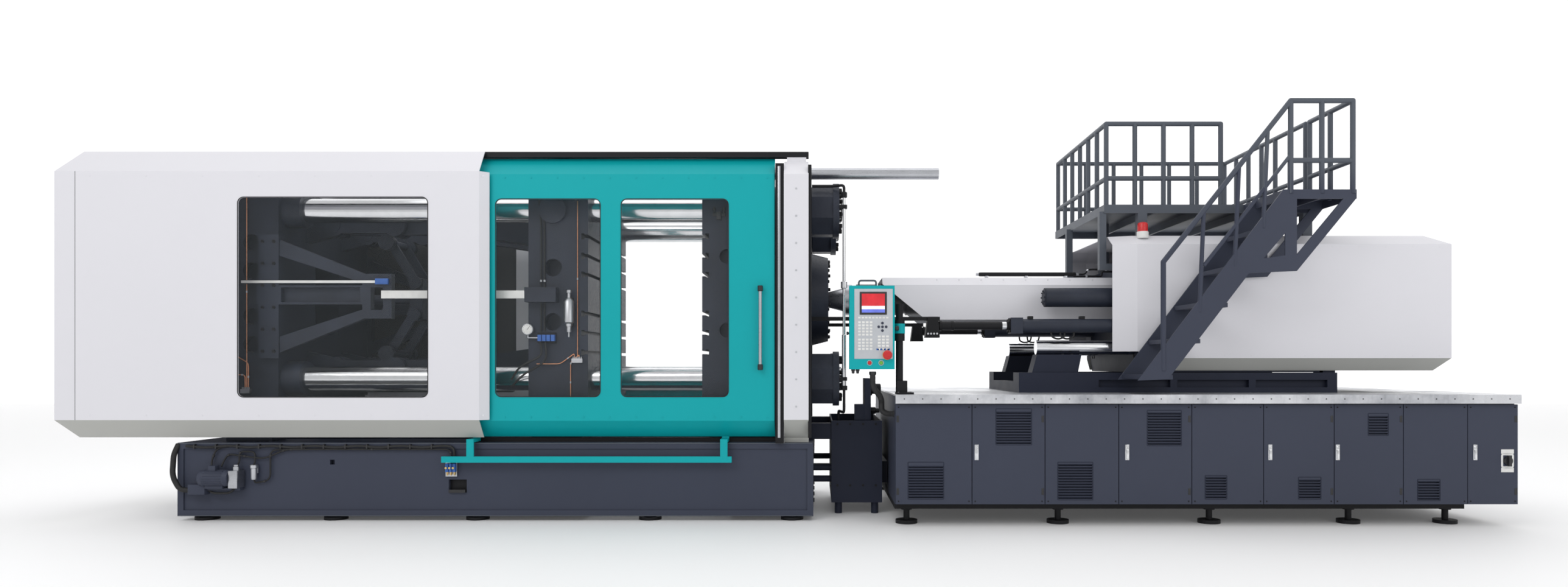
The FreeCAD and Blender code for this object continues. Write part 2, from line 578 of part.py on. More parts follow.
def make_panel_post():
    x, y = PANEL_POST
    foot = box(x - 30, x + 110, y - 95, y + 75, DECK_Z1, DECK_Z1 + 16)
    block = box(x - 24, x + 60, y - 60, y + 60, DECK_Z1 + 16, DECK_Z1 + 110)
    post = rod_z(DECK_Z1 + 16, 1800, x, y, 30)
    collar = [rod_z(1500, 1559, x, y, 44), rod_z(1641, 1670, x, y, 44)]
    save("panel_post", [join([foot, block, post] + collar)])


def make_carriage_rails():
    parts = []
    for y0, y1 in ((-720, -480), (480, 720)):
        rail = box(RAIL_X0, RAIL_X1, y0, y1, DECK_Z1, RAIL_TOP)
        outer = y0 if y0 < 0 else y1 - 40
        slots = [box(x, x + 620, outer, outer + 40, DECK_Z1 + 45, DECK_Z1 + 110) for x in (2750, 3430, 4110)]
        parts.append(cut(rail, slots))
        mid = (y0 + y1) / 2
        seat = ROD_Z - ROD_R
        toe = [(2180, RAIL_TOP - 1), (2580, RAIL_TOP - 1), (2611, seat), (2224, seat)]
        parts.append(plate_xz(toe, mid - 85, mid + 85))
        parts.append(box(RAIL_X1 - 105, RAIL_X1, mid - 85, mid + 85, RAIL_TOP - 1, seat))
    ties = [box(x, x + 110, -490, 490, DECK_Z1, DECK_Z1 + 90) for x in (RAIL_X0, 3400, RAIL_X1 - 110)]
    rods = [rod_x(2230, RAIL_X1, y, ROD_Z, ROD_R) for y in (-ROD_Y, ROD_Y)]
    save("carriage_rails", [join(parts + ties)] + rods)


def make_power_pack():
    tank = box(3380, 4420, 60, 1240, 215, 780)
    lid = cut(tank, [box(3388, 4412, 68, 1232, 223, 772), box(3500, 3620, 150, 270, 760, 790)])
    motor = [rod_x(3450, 3900, 650, 905, 120), rod_x(3900, 3960, 650, 905, 70),
             rod_x(3960, 4180, 650, 905, 85),
             box(3500, 3850, 560, 740, 780, 850)]
    save("power_pack", [lid, join(motor)])


def make_pipe_trunk():
    x0, x1, half, z0, z1, wall = 438, 882, 620, 100, 816, 10
    hollow = box(x0 + wall, x1 - wall, wall - half, half - wall, z0 + wall, z1 + 1)
    tray = cut(box(x0, x1, -half, half, z0, z1), [hollow])
    pipes = [rod_x(BED_X1, x0 + 5, y, z, 28) for y in (-540, 540) for z in (300, 400)]
    beams = [box(205, x0 + 5, s * 540 - 60, s * 540 + 60, BED_Z1, 791) for s in (-1, 1)]
    stub = [box(x1 - 5, DOOR_SEAMS[0], -400, 400, 250, 440)]
    legs = [rod_z(0, z0 + 5, x, y, 32) for x in (500, 820) for y in (-560, 560)]
    save("pipe_trunk", [join([tray] + pipes + beams + stub + legs)])


def make_barrel():
    body = rod_x(560, 3300, 0, AXIS_Z, 130)
    bands = [rod_x(x, x + 190, 0, AXIS_Z, 146) for x in range(680, 2700, 230)]
    nozzle = [cone_x(380, 565, 62, 112), rod_x(60, 390, 0, AXIS_Z, 45), cone_x(-50, 65, 22, 45)]
    head = rod_x(556, 640, 0, AXIS_Z, 148)
    bore = [rod_x(470, 3310, 0, AXIS_Z, SCREW_BORE), rod_x(-60, 480, 0, AXIS_Z, 14)]
    feed = rod_z(AXIS_Z, AXIS_Z + 200, 2990, 0, 55)
    save("barrel", [cut(join([body, head] + bands + nozzle), bore + [feed])])


def make_screw():
    r = SCREW_BORE - 3
    core = [rod_x(560, 3640, 0, AXIS_Z, r - 14), cone_x(480, 565, 12, r - 12)]
    rings = [rod_x(x, x + 24, 0, AXIS_Z, r) for x in (580, 640, 3150, 3230)]
    save("screw", [join(core + rings)])


def make_barrel_guard():
    x0, x1, wall = 903, 3085, 4
    outer = [(-380, 1711), (-380, 2024), (-310, 2095), (310, 2095), (380, 2024), (380, 1711)]
    inner = [(-376, 1700), (-376, 2022), (-308, 2091), (308, 2091), (376, 2022), (376, 1700)]
    sleeve = cut(plate_yz(outer, x0, x1), [plate_yz(inner, x0 - 1, x1 + 1)])
    nose = plate_xz([(x0 - 5, 2035), (x0, 2030), (1292, 1711), (1292, 1690), (x0 - 5, 1690)], -400, 400)
    feed = rod_z(2050, 2120, 2990, 0, 90)
    ribs = [cut(plate_yz(outer, x, x + 6), [rod_x(x - 1, x + 7, 0, AXIS_Z, 150),
                                            box(x - 1, x + 7, -400, 400, 1700, AXIS_Z)])
            for x in (1400, 2200, 3000)]
    save("barrel_guard", [cut(join([sleeve] + ribs), [nose, feed])])


def plate_bores(x0, x1):
    bores = [rod_x(x0, x1, 0, AXIS_Z, 130)]
    for s in (-1, 1):
        bores += [rod_x(x0, x1, s * CYL_Y, CYL_Z, CYL_R), rod_x(x0, x1, s * TOW_Y, TOW_Z, TOW_R),
                  rod_x(x0, x1, s * ROD_Y, ROD_Z, ROD_R + 0.5)]
    return bores


def make_carriage():
    front = cut(box(3090, 3250, -720, 720, 1290, 2200), plate_bores(3080, 3260))
    rear_x0, rear_x1 = 4560, 4680
    rods = [rod_x(rear_x0 - 5, rear_x1 + 5, s * ROD_Y, ROD_Z, ROD_R + 0.5) for s in (-1, 1)]
    motor_bore = rod_x(rear_x0 - 5, rear_x1 + 5, 0, AXIS_Z, 230)
    rear = cut(box(rear_x0, rear_x1, -720, 720, 1290, 2200), rods + [motor_bore])
    base = box(3090, rear_x1, -685, 685, RAIL_TOP + 4, 1290)
    bars = [rod_x(3245, rear_x0 + 5, y, z, BAR_R) for y in (-330, 330) for z in (1640, 2140)]
    ears = [box(x, x + 60, y0, y1, 1500, 1560) for x in (3120, 4600) for y0, y1 in ((-794, -720), (720, 794))]
    save("carriage", [join([front, rear, base] + bars + ears)])


def make_injection_plate():
    plate = box(3650, 3790, -650, 650, 1560, 2220)
    bores = [rod_x(3640, 3800, y, z, BAR_R + 0.6) for y in (-330, 330) for z in (1640, 2140)]
    socket = [rod_x(3640, 3700, 0, AXIS_Z, SCREW_BORE)]
    motor = rod_x(3785, 4080, 0, AXIS_Z, 170)
    stems = [rod_x(2400, 3655, s * CYL_Y, CYL_Z, 45) for s in (-1, 1)]
    pistons = [rod_x(2350, 2405, s * CYL_Y, CYL_Z, 59.5) for s in (-1, 1)]
    save("injection_plate", [join([cut(join([plate, motor]), bores + socket)] + stems + pistons)])


def make_cylinders():
    for_injection = [cut(rod_x(2317, 3500, s * CYL_Y, CYL_Z, CYL_R),
                         [rod_x(2330, 3460, s * CYL_Y, CYL_Z, 60), rod_x(3450, 3510, s * CYL_Y, CYL_Z, 46)])
                     for s in (-1, 1)]
    for_carriage = []
    for s in (-1, 1):
        y = s * TOW_Y
        head = box(1992, 2096, y - 69, y + 69, TOW_Z - 69, TOW_Z + 69)
        shell = join([head, rod_x(2090, 3400, y, TOW_Z, TOW_R)])
        for_carriage.append(cut(shell, [rod_x(2030, 3380, y, TOW_Z, 45), rod_x(1980, 2040, y, TOW_Z, 36)]))
    save("carriage_cylinders", for_injection + for_carriage)
    anchors = []
    for s in (-1, 1):
        y = s * TOW_Y
        foot = plate_xz([(1251, 1541), (1378, 1541), (1362, 1722), (1275, 1722)], y - 50, y + 50)
        anchors.append(join([box(240, 1380, y - 35, y + 35, 1690, 1722), foot,
                             rod_x(1350, 2900, y, TOW_Z, 35),
                             rod_x(2860, 2900, y, TOW_Z, 44.5)]))
    save("traction_rods", anchors)


def shroud_ring(z, inset, wall=0.0, left=0.0):
    bevel_y = SHROUD_Y - SHROUD_LEAN - inset - wall
    y = SHROUD_Y - inset - wall
    x0, x1, x2 = SHROUD_X0 - left, SHROUD_BEVEL, SHROUD_X1 - inset - wall
    points = [(x0, -bevel_y), (x1, -y), (x2, -y), (x2, y), (x1, y), (x0, bevel_y), (x0, -bevel_y)]
    return Part.makePolygon([V(a, b, z) for a, b in points])


def make_injection_cover():
    wall = 6.0
    insets = (100.0, 0.0, 0.0, 150.0)
    outer = Part.makeLoft([shroud_ring(z, i) for z, i in zip(SHROUD_Z, insets)], True, True)
    inner_z = (SHROUD_Z[0], SHROUD_Z[1], SHROUD_Z[2], SHROUD_Z[3] - wall)
    rings = [shroud_ring(SHROUD_Z[0] - 60, insets[0], wall)]
    rings += [shroud_ring(z, i, wall) for z, i in zip(inner_z, insets)]
    inner = Part.makeLoft(rings, True, True)
    mouth = [box(SHROUD_X0 - 10, SHROUD_X0 + 12, -712, 712, 1200, 2338),
             box(SHROUD_X0 - 10, SHROUD_BEVEL + 10, -900, 900, 1200, 1420)]
    holes = [box(x - 45, x + 45, y - 45, y + 45, 2380, 2450) for x in PLATFORM_POSTS for y in (-560, 560)]
    save("injection_cover", [cut(outer, [inner] + mouth + holes)])


def deck_frame(x0, x1, y0, y1, beams):
    """Floor plate with an edge frame under it and cross beams."""
    slab = box(x0, x1, y0, y1, FLOOR_Z - 75, FLOOR_Z)
    bays = []
    stops = [x0] + beams + [x1]
    for a, b in zip(stops, stops[1:]):
        bays.append(box(a + 10, b - 10, y0 + 10, y1 - 10, FLOOR_Z - 80, FLOOR_Z - 8))
    return cut(slab, bays)


def guard_run(p, q, bays, base=FLOOR_Z - 2):
    """Straight level guardrail from p to q: top tube, middle tube and equally spaced posts."""
    (x0, y0), (x1, y1) = p, q
    tubes = [bar((x0, y0, z), (x1, y1, z), RAIL_TUBE) for z in (3425, 2945)]
    for i in range(bays + 1):
        x, y = x0 + (x1 - x0) * i / bays, y0 + (y1 - y0) * i / bays
        tubes.append(rod_z(base, 3425, x, y, RAIL_TUBE))
        tubes.append(Part.makeSphere(RAIL_TUBE, V(x, y, 3425)))
    return tubes


def make_platform():
    floor = deck_frame(FLOOR_X0, FLOOR_X1, FLOOR_Y0, FLOOR_Y1, [3280.0, 3730.0, 4180.0])
    posts = [box(x - 40, x + 40, y - 40, y + 40, 2200, FLOOR_Z - 4)
             for x in PLATFORM_POSTS for y in (-560, 560)]
    outriggers = []
    for y in (-560, 560):
        outriggers += [box(2795, 2855, y - 30, y + 30, 2140, FLOOR_Z - 60),
                       box(2795, 3090, y - 30, y + 30, 2140, 2195)]
    inset = 25.0
    xa, xb, ya, yb = FLOOR_X0 + inset, FLOOR_X1 - inset, FLOOR_Y0 + inset, FLOOR_Y1 - inset
    rails = guard_run((xa, ya), (3865, ya), 4) + guard_run((xa, ya), (xa, yb), 6)
    rails += guard_run((xa, yb), (xb, yb), 6) + guard_run((xb, yb), (xb, ya), 6)
    save("platform", [join([floor] + posts + outriggers + rails)])


def stringer(y0, y1):
    outline = [(2885, 1178), (3126, 1188), (3778, 2040), (4160, 2057), (4639, 2642), (4639, FLOOR_Z),
               (4052, FLOOR_Z)]
    windows = [[(4160, 2636), (4532, 2636), (4160, 2188)], [(4066, 2360), (3892, 2157), (4066, 2182)]]
    return cut(plate_xz(outline, y0, y1), [plate_xz(w, y0 - 1, y1 + 1) for w in windows])


def make_stairs():
    sides = [stringer(STAIR_Y0, STAIR_Y0 + 14), stringer(STAIR_Y1 - 14, STAIR_Y1)]
    run = (4052 - 2885) / (FLOOR_Z - 1178)
    treads = []
    for z in (1205, 1495, 1785, 2075, 2370):
        x = 2885 + (z - 1178) * run
        treads.append(box(x + 18, x + 262, STAIR_Y0 + 10, STAIR_Y1 - 10, z - 18, z + 18))
    landing = deck_frame(4060, FLOOR_X1, STAIR_Y0, FLOOR_Y0, [4350.0])
    y = STAIR_Y0 + RAIL_TUBE - 9
    foot, knee, top = (3092, y, 1258), (3092, y, 2130), (4115, y, 3425)
    hand = [bar(foot, knee, RAIL_TUBE), Part.makeSphere(RAIL_TUBE, V(*knee)), bar(knee, top, RAIL_TUBE),
            bar((3417, y, 2100), (4115, y, 2990), RAIL_TUBE * 0.7)]
    slope = (3425 - 2130) / (4115 - 3092)
    for x in (3417, 3700, 3930):
        foot_z = 1178 + (x - 60 - 2885) / run - 70
        hand.append(bar((x - 35, y, foot_z), (x, y, 2130 + (x - 3092) * slope), RAIL_TUBE * 0.8))
    rails = guard_run((4115, y), (FLOOR_X1 - 25, y), 2, FLOOR_Z - 30)
    rails += guard_run((FLOOR_X1 - 25, y), (FLOOR_X1 - 25, FLOOR_Y0 - 45), 2, FLOOR_Z - 30)
    save("stairs", [join(sides + treads + [landing] + hand + rails)])


os.makedirs("parts", exist_ok=True)
make_clamp_bed()
make_levelling_pads()
make_injection_bed()
make_deck()
make_cabinet()
make_fixed_platen()
make_tie_bars()
make_rear_platen()
make_guide_brackets()
make_clamp_cylinder()
make_crosshead()
make_toggle()
make_moving_platen()
make_ejector()
make_moving_fittings()
make_clamp_covers()
make_safety_doors()
make_door_frame()
make_control_panel()
make_panel_post()
make_carriage_rails()
make_power_pack()
make_pipe_trunk()
make_barrel()
make_screw()
make_barrel_guard()
make_carriage()
make_injection_plate()
make_cylinders()
make_injection_cover()
make_platform()
make_stairs()
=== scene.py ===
import math

import bmesh
import bpy
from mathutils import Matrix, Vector


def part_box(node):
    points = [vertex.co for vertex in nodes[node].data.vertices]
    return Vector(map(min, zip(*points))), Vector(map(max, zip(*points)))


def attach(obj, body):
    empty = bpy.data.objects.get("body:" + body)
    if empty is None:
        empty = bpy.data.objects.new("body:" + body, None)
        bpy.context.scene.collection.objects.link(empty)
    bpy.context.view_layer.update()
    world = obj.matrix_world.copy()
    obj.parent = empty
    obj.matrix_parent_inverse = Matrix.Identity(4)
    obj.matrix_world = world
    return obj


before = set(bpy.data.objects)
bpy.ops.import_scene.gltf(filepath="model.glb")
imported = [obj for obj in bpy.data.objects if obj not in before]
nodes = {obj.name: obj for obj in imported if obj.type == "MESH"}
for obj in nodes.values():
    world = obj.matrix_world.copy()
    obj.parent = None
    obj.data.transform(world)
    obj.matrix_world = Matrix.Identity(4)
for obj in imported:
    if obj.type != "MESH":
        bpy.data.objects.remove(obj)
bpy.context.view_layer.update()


# ---------------------------------------------------------------- camera
CAMERA_PLACE = (0.30, -9.15, 1.30)
LENS = 22.36
SHIFT = (-0.0202, 0.0458)


def set_camera():
    """Level camera in front of the machine; its lens is shifted instead of tilted."""
    data = bpy.data.cameras.new("camera")
    data.lens = LENS
    data.sensor_width = 36.0
    data.shift_x, data.shift_y = SHIFT
    data.clip_end = 200.0
    camera = bpy.data.objects.new("camera", data)
    camera.location = CAMERA_PLACE
    camera.rotation_euler = (math.radians(90.0), 0.0, 0.0)
    bpy.context.scene.collection.objects.link(camera)
    bpy.context.scene.camera = camera


# ---------------------------------------------------------------- finishes
def start_material(name):
    """New material with its node tree and its shader."""
    material = bpy.data.materials.new(name)
    material.use_nodes = True
    return material, material.node_tree, material.node_tree.nodes["Principled BSDF"]


def place_of(tree, stretch=(1.0, 1.0, 1.0)):
    """Object coordinates, stretched along each axis."""
    where = tree.nodes.new("ShaderNodeTexCoord")
    mapping = tree.nodes.new("ShaderNodeMapping")
    mapping.inputs["Scale"].default_value = stretch
    tree.links.new(where.outputs["Object"], mapping.inputs["Vector"])
    return mapping.outputs["Vector"]


def noise(tree, place, scale, detail=3.0, roughness=0.55):
    """Cloudy value between 0 and 1."""
    node = tree.nodes.new("ShaderNodeTexNoise")
    node.inputs["Scale"].default_value = scale
    node.inputs["Detail"].default_value = detail
    node.inputs["Roughness"].default_value = roughness
    tree.links.new(place, node.inputs["Vector"])
    return node.outputs["Fac"]


def between(tree, value, low, high, start=0.3, end=0.7):
    """Value that runs from low to high as the given one runs from start to end."""
    node = tree.nodes.new("ShaderNodeMapRange")
    for name, number in (("From Min", start), ("From Max", end), ("To Min", low), ("To Max", high)):
        node.inputs[name].default_value = number
    tree.links.new(value, node.inputs["Value"])
    return node.outputs["Result"]


def tone(tree, value, dark, light, start=0.3, end=0.7):
    """Colour that runs from dark to light as value runs from start to end."""
    ramp = tree.nodes.new("ShaderNodeValToRGB")
    ramp.color_ramp.elements[0].position = start
    ramp.color_ramp.elements[1].position = end
    ramp.color_ramp.elements[0].color = (*dark, 1.0)
    ramp.color_ramp.elements[1].color = (*light, 1.0)
    tree.links.new(value, ramp.inputs["Fac"])
    return ramp.outputs["Color"]


def bump(tree, height, strength, depth, shader):
    """Relief from a height value, with its depth in metres."""
    node = tree.nodes.new("ShaderNodeBump")
    node.inputs["Strength"].default_value = strength
    node.inputs["Distance"].default_value = depth
    tree.links.new(height, node.inputs["Height"])
    tree.links.new(node.outputs["Normal"], shader.inputs["Normal"])


def scaled(colour, factor):
    """Colour made darker or lighter by a factor."""
    return tuple(min(1.0, c * factor) for c in colour)


def painted(name, colour, rough=0.32, coat=0.3, peel=0.12, patch=0.05, cloud=0.8, gloss_spread=0.03):
    """Sprayed enamel: faint cloudiness, orange peel and uneven gloss."""
    material, tree, shader = start_material(name)
    place = place_of(tree)
    cloudiness = noise(tree, place, cloud, 4.0)
    shade = tone(tree, cloudiness, scaled(colour, 1.0 - patch), scaled(colour, 1.0 + patch))
    tree.links.new(shade, shader.inputs["Base Color"])
    gloss = between(tree, noise(tree, place, 6.0, 3.0), rough - gloss_spread, rough + gloss_spread)
    tree.links.new(gloss, shader.inputs["Roughness"])
    shader.inputs["Specular IOR Level"].default_value = 0.22
    shader.inputs["Coat Weight"].default_value = coat
    shader.inputs["Coat Roughness"].default_value = 0.15
    bump(tree, noise(tree, place, 260.0, 2.0), peel, 0.0006, shader)
    return material


def cast_paint(name, colour):
    """Enamel over a sand casting: lumpy skin and broad patches of darker and lighter tone."""
    material, tree, shader = start_material(name)
    place = place_of(tree)
    lumps = noise(tree, place, 55.0, 6.0, 0.65)
    shade = tone(tree, noise(tree, place, 3.0, 6.0), scaled(colour, 0.72), scaled(colour, 1.25))
    tree.links.new(shade, shader.inputs["Base Color"])
    tree.links.new(between(tree, lumps, 0.36, 0.58), shader.inputs["Roughness"])
    shader.inputs["Specular IOR Level"].default_value = 0.3
    bump(tree, lumps, 0.35, 0.0025, shader)
    return material


def metal(name, colour, rough=0.22, brush=(1.0, 1.0, 1.0), grain=400.0, depth=0.0002):
    """Bare metal with tool marks that run along the axis with the smallest stretch."""
    material, tree, shader = start_material(name)
    place = place_of(tree, brush)
    marks = noise(tree, place, grain, 3.0)
    smudge = noise(tree, place_of(tree), 5.0, 4.0)
    tree.links.new(tone(tree, smudge, scaled(colour, 0.88), colour), shader.inputs["Base Color"])
    tree.links.new(between(tree, marks, rough - 0.06, rough + 0.10), shader.inputs["Roughness"])
    shader.inputs["Metallic"].default_value = 1.0
    bump(tree, marks, 0.12, depth, shader)
    return material


def plastic(name, colour, rough=0.42, grain=900.0):
    """Moulded plastic or rubber with a fine grain."""
    material, tree, shader = start_material(name)
    place = place_of(tree)
    shade = tone(tree, noise(tree, place, 9.0, 3.0), scaled(colour, 0.9), scaled(colour, 1.08))
    tree.links.new(shade, shader.inputs["Base Color"])
    gloss = between(tree, noise(tree, place, 30.0), rough - 0.05, rough + 0.08)
    tree.links.new(gloss, shader.inputs["Roughness"])
    bump(tree, noise(tree, place, grain, 2.0), 0.15, 0.0003, shader)
    return material


def tread_plate():
    """Aluminium plate with raised bars that cross in pairs."""
    material, tree, shader = start_material("tread_plate")
    place = place_of(tree)
    raised = []
    for turn in (45.0, -45.0):
        mapping = tree.nodes.new("ShaderNodeMapping")
        mapping.inputs["Rotation"].default_value = (0.0, 0.0, math.radians(turn))
        mapping.inputs["Scale"].default_value = (14.0, 40.0, 0.0)
        tree.links.new(place, mapping.inputs["Vector"])
        cells = tree.nodes.new("ShaderNodeTexVoronoi")
        cells.inputs["Scale"].default_value = 1.0
        cells.inputs["Randomness"].default_value = 0.0
        tree.links.new(mapping.outputs["Vector"], cells.inputs["Vector"])
        raised.append(between(tree, cells.outputs["Distance"], 1.0, 0.0, 0.22, 0.34))
    both = tree.nodes.new("ShaderNodeMath")
    both.operation = "MAXIMUM"
    tree.links.new(raised[0], both.inputs[0])
    tree.links.new(raised[1], both.inputs[1])
    stains = noise(tree, place, 2.4, 7.0, 0.62)
    tree.links.new(tone(tree, stains, (0.34, 0.35, 0.38), (0.72, 0.73, 0.76), 0.32, 0.62),
                   shader.inputs["Base Color"])
    tree.links.new(between(tree, stains, 0.46, 0.26), shader.inputs["Roughness"])
    shader.inputs["Metallic"].default_value = 0.85
    bump(tree, both.outputs[0], 0.8, 0.003, shader)
    return material


def pane(name, tint, rough, alpha):
    """Polycarbonate sheet with faint rub marks."""
    material, tree, shader = start_material(name)
    place = place_of(tree)
    rub = noise(tree, place, 4.0, 6.0)
    tree.links.new(between(tree, rub, rough, rough + 0.08), shader.inputs["Roughness"])
    tree.links.new(tone(tree, rub, scaled(tint, 0.92), tint), shader.inputs["Base Color"])
    shader.inputs["Alpha"].default_value = alpha
    shader.inputs["IOR"].default_value = 1.45
    return material


def lit(name, colour, strength):
    """Back-lit field of a display, slightly uneven."""
    material, tree, shader = start_material(name)
    glow = noise(tree, place_of(tree), 12.0, 2.0)
    shade = tone(tree, glow, scaled(colour, 0.75), colour)
    tree.links.new(shade, shader.inputs["Base Color"])
    tree.links.new(shade, shader.inputs["Emission Color"])
    shader.inputs["Emission Strength"].default_value = strength
    shader.inputs["Roughness"].default_value = 0.12
    return material


PAINT = {
    "white": painted("white_enamel", (0.735, 0.730, 0.770), 0.40, 0.08, 0.05, 0.006, 0.8, 0.01),
    # painted shade: a darker white for the lower bevels of the white covers, in place of the shade that
    # falls under them
    "shade": painted("painted_shade_grey", (0.46, 0.465, 0.44), 0.42, 0.05, 0.05, 0.01, 0.8, 0.01),
    "teal": painted("teal_enamel", (0.002, 0.370, 0.400), 0.45, 0.0, 0.05, 0.02, 0.8, 0.02),
    "slate": painted("slate_enamel", (0.046, 0.053, 0.080), 0.50, 0.0, 0.10, 0.04),
    "navy": painted("navy_enamel", (0.018, 0.022, 0.040), 0.55, 0.0, 0.12, 0.10),
    "black": painted("black_enamel", (0.010, 0.010, 0.012), 0.50, 0.0, 0.12, 0.15),
    "grey": painted("rail_enamel", (0.090, 0.102, 0.124), 0.48, 0.0, 0.12, 0.06),
    "membrane": painted("key_membrane", (0.50, 0.52, 0.55), 0.5, 0.0, 0.3, 0.03, 20.0),
    "casting": cast_paint("casting_enamel", (0.024, 0.029, 0.045)),
    "tread": tread_plate(),
    "chrome": metal("hard_chrome", (0.78, 0.79, 0.81), 0.13, (0.05, 1.0, 1.0), 300.0, 0.0001),
    "steel": metal("turned_steel", (0.52, 0.53, 0.56), 0.30, (0.08, 1.0, 1.0), 260.0),
    "zinc": metal("zinc_plate", (0.60, 0.61, 0.64), 0.36, (1.0, 1.0, 1.0), 120.0),
    "copper": metal("copper_tube", (0.78, 0.36, 0.20), 0.28, (1.0, 1.0, 1.0), 200.0),
    "brass": metal("brass_fitting", (0.75, 0.55, 0.24), 0.30, (1.0, 1.0, 1.0), 300.0),
    "rubber": plastic("black_rubber", (0.012, 0.012, 0.013), 0.62, 500.0),
    "plastic": plastic("black_plastic", (0.020, 0.020, 0.022), 0.42),
    "red": plastic("red_plastic", (0.58, 0.020, 0.022), 0.28),
    "green": plastic("green_plastic", (0.16, 0.42, 0.05), 0.28),
    "yellow": plastic("yellow_field", (0.80, 0.50, 0.03), 0.40),
    "blue": plastic("blue_plastic", (0.03, 0.12, 0.42), 0.40),
    "label": plastic("label_white", (0.78, 0.78, 0.76), 0.45),
    "clear": pane("clear_sheet", (0.30, 0.33, 0.34), 0.03, 0.035),
    # painted shade: nearly opaque dark sheet standing in for the shade inside the clamp, seen through the
    # near windows
    "interior_shade": pane("interior_shade_sheet", (0.016, 0.017, 0.022), 0.35, 0.96),
    "screen_red": lit("screen_red", (0.55, 0.02, 0.03), 0.55),
    "screen_white": lit("screen_white", (0.80, 0.78, 0.80), 0.70),
    "screen_blue": lit("screen_blue", (0.12, 0.16, 0.60), 0.60),
}


# ---------------------------------------------------------------- mesh helpers, all lengths in millimetres
def point(x, y, z):
    """Place or step in metres, from millimetres."""
    return Vector((x, y, z)) / 1000.0


def block(bm, x0, x1, y0, y1, z0, z1, edge=3.0):
    """Rectangular block with bevelled edges."""
    made = bmesh.ops.create_cube(bm, size=1.0)
    size = Vector((abs(x1 - x0), abs(y1 - y0), abs(z1 - z0))) / 1000.0
    centre = point((x0 + x1) / 2, (y0 + y1) / 2, (z0 + z1) / 2)
    for vert in made["verts"]:
        vert.co = Vector(c * s for c, s in zip(vert.co, size)) + centre
    edges = list({e for v in made["verts"] for e in v.link_edges})
    width = min(edge / 1000.0, min(size) * 0.35)
    bmesh.ops.bevel(bm, geom=edges, offset=width, segments=2, affect="EDGES", profile=0.6)


def skin(bm, rings):
    """Joins rings of vertices into a closed skin with a flat face at each end."""
    count = len(rings[0])
    for near, far in zip(rings, rings[1:]):
        for i in range(count):
            j = (i + 1) % count
            bm.faces.new((near[i], near[j], far[j], far[i]))
    bm.faces.new(list(reversed(rings[0])))
    bm.faces.new(rings[-1])


def hoop(bm, loops):
    """Joins loops of vertices into a ring that closes on itself."""
    count = len(loops[0])
    for one, two in zip(loops, loops[1:] + loops[:1]):
        for i in range(count):
            j = (i + 1) % count
            bm.faces.new((one[i], one[j], two[j], two[i]))


def lathe(bm, origin, direction, profile, sides=32):
    """Turned shape, closed at both ends; its profile is a list of (distance along the axis, radius)."""
    axis = Vector(direction).normalized()
    turn = axis.to_track_quat("Z", "Y").to_matrix()
    base = point(*origin)
    rings = []
    for along, radius in profile:
        ring = []
        for i in range(sides):
            angle = 2.0 * math.pi * i / sides
            local = Vector((radius * math.cos(angle), radius * math.sin(angle), along)) / 1000.0
            ring.append(bm.verts.new(base + turn @ local))
        rings.append(ring)
    skin(bm, rings)


def rod(bm, start, end, radius, sides=24, edge=1.5):
    """Round bar with small chamfers."""
    run = (Vector(end) - Vector(start)).length
    edge = min(edge, radius * 0.4, run * 0.3)
    profile = [(0, radius - edge), (edge, radius), (run - edge, radius), (run, radius - edge)]
    lathe(bm, start, Vector(end) - Vector(start), profile, sides)


def smooth_route(points, steps=6):
    """Curved line through the given points."""
    knots = [Vector(p) for p in points]
    knots = [knots[0] * 2 - knots[1]] + knots + [knots[-1] * 2 - knots[-2]]
    route = []
    for a, b, c, d in zip(knots, knots[1:], knots[2:], knots[3:]):
        for i in range(steps):
            t = i / steps
            route.append(0.5 * (2 * b + (c - a) * t + (2 * a - 5 * b + 4 * c - d) * t * t
                                + (3 * b - a - 3 * c + d) * t ** 3))
    route.append(Vector(points[-1]))
    return route


def bent_route(points, radius=40.0, steps=5):
    """Straight runs joined by rounded corners, as a bent tube is."""
    knots = [Vector(p) for p in points]
    route = [knots[0]]
    for a, b, c in zip(knots, knots[1:], knots[2:]):
        reach = min(radius, (b - a).length * 0.45, (c - b).length * 0.45)
        p, q = b + (a - b).normalized() * reach, b + (c - b).normalized() * reach
        for i in range(steps + 1):
            t = i / steps
            route.append(p * (1 - t) ** 2 + b * (2 * t * (1 - t)) + q * t * t)
    route.append(knots[-1])
    return route


def tube(bm, route, radius, sides=12, ribs=None):
    """Round tube along a route; ribs=(pitch, height) makes it corrugated."""
    if ribs:
        pitch = ribs[0]
        fine = []
        for a, b in zip(route, route[1:]):
            count = max(1, round((b - a).length / (pitch / 2)))
            fine += [a.lerp(b, i / count) for i in range(count)]
        route = fine + [route[-1]]
    rings = []
    side = None
    for i, here in enumerate(route):
        ahead = (route[min(i + 1, len(route) - 1)] - route[max(i - 1, 0)]).normalized()
        if side is None:
            side = ahead.orthogonal().normalized()
        side = (side - ahead * side.dot(ahead)).normalized()
        other = ahead.cross(side)
        r = radius + (ribs[1] if ribs and i % 2 else 0.0)
        ring = []
        for k in range(sides):
            angle = 2.0 * math.pi * k / sides
            offset = side * (r * math.cos(angle)) + other * (r * math.sin(angle))
            ring.append(bm.verts.new((here + offset) / 1000.0))
        rings.append(ring)
    skin(bm, rings)


def rounded_loop(x0, x1, z0, z1, r):
    """Outline of a rectangle with rounded corners, as points in XZ."""
    steps = 6
    corners = ((x1 - r, z1 - r, 0), (x0 + r, z1 - r, 90), (x0 + r, z0 + r, 180), (x1 - r, z0 + r, 270))
    loop = []
    for cx, cz, start in corners:
        for i in range(steps + 1):
            angle = math.radians(start + 90.0 * i / steps)
            loop.append((cx + r * math.cos(angle), cz + r * math.sin(angle)))
    return loop


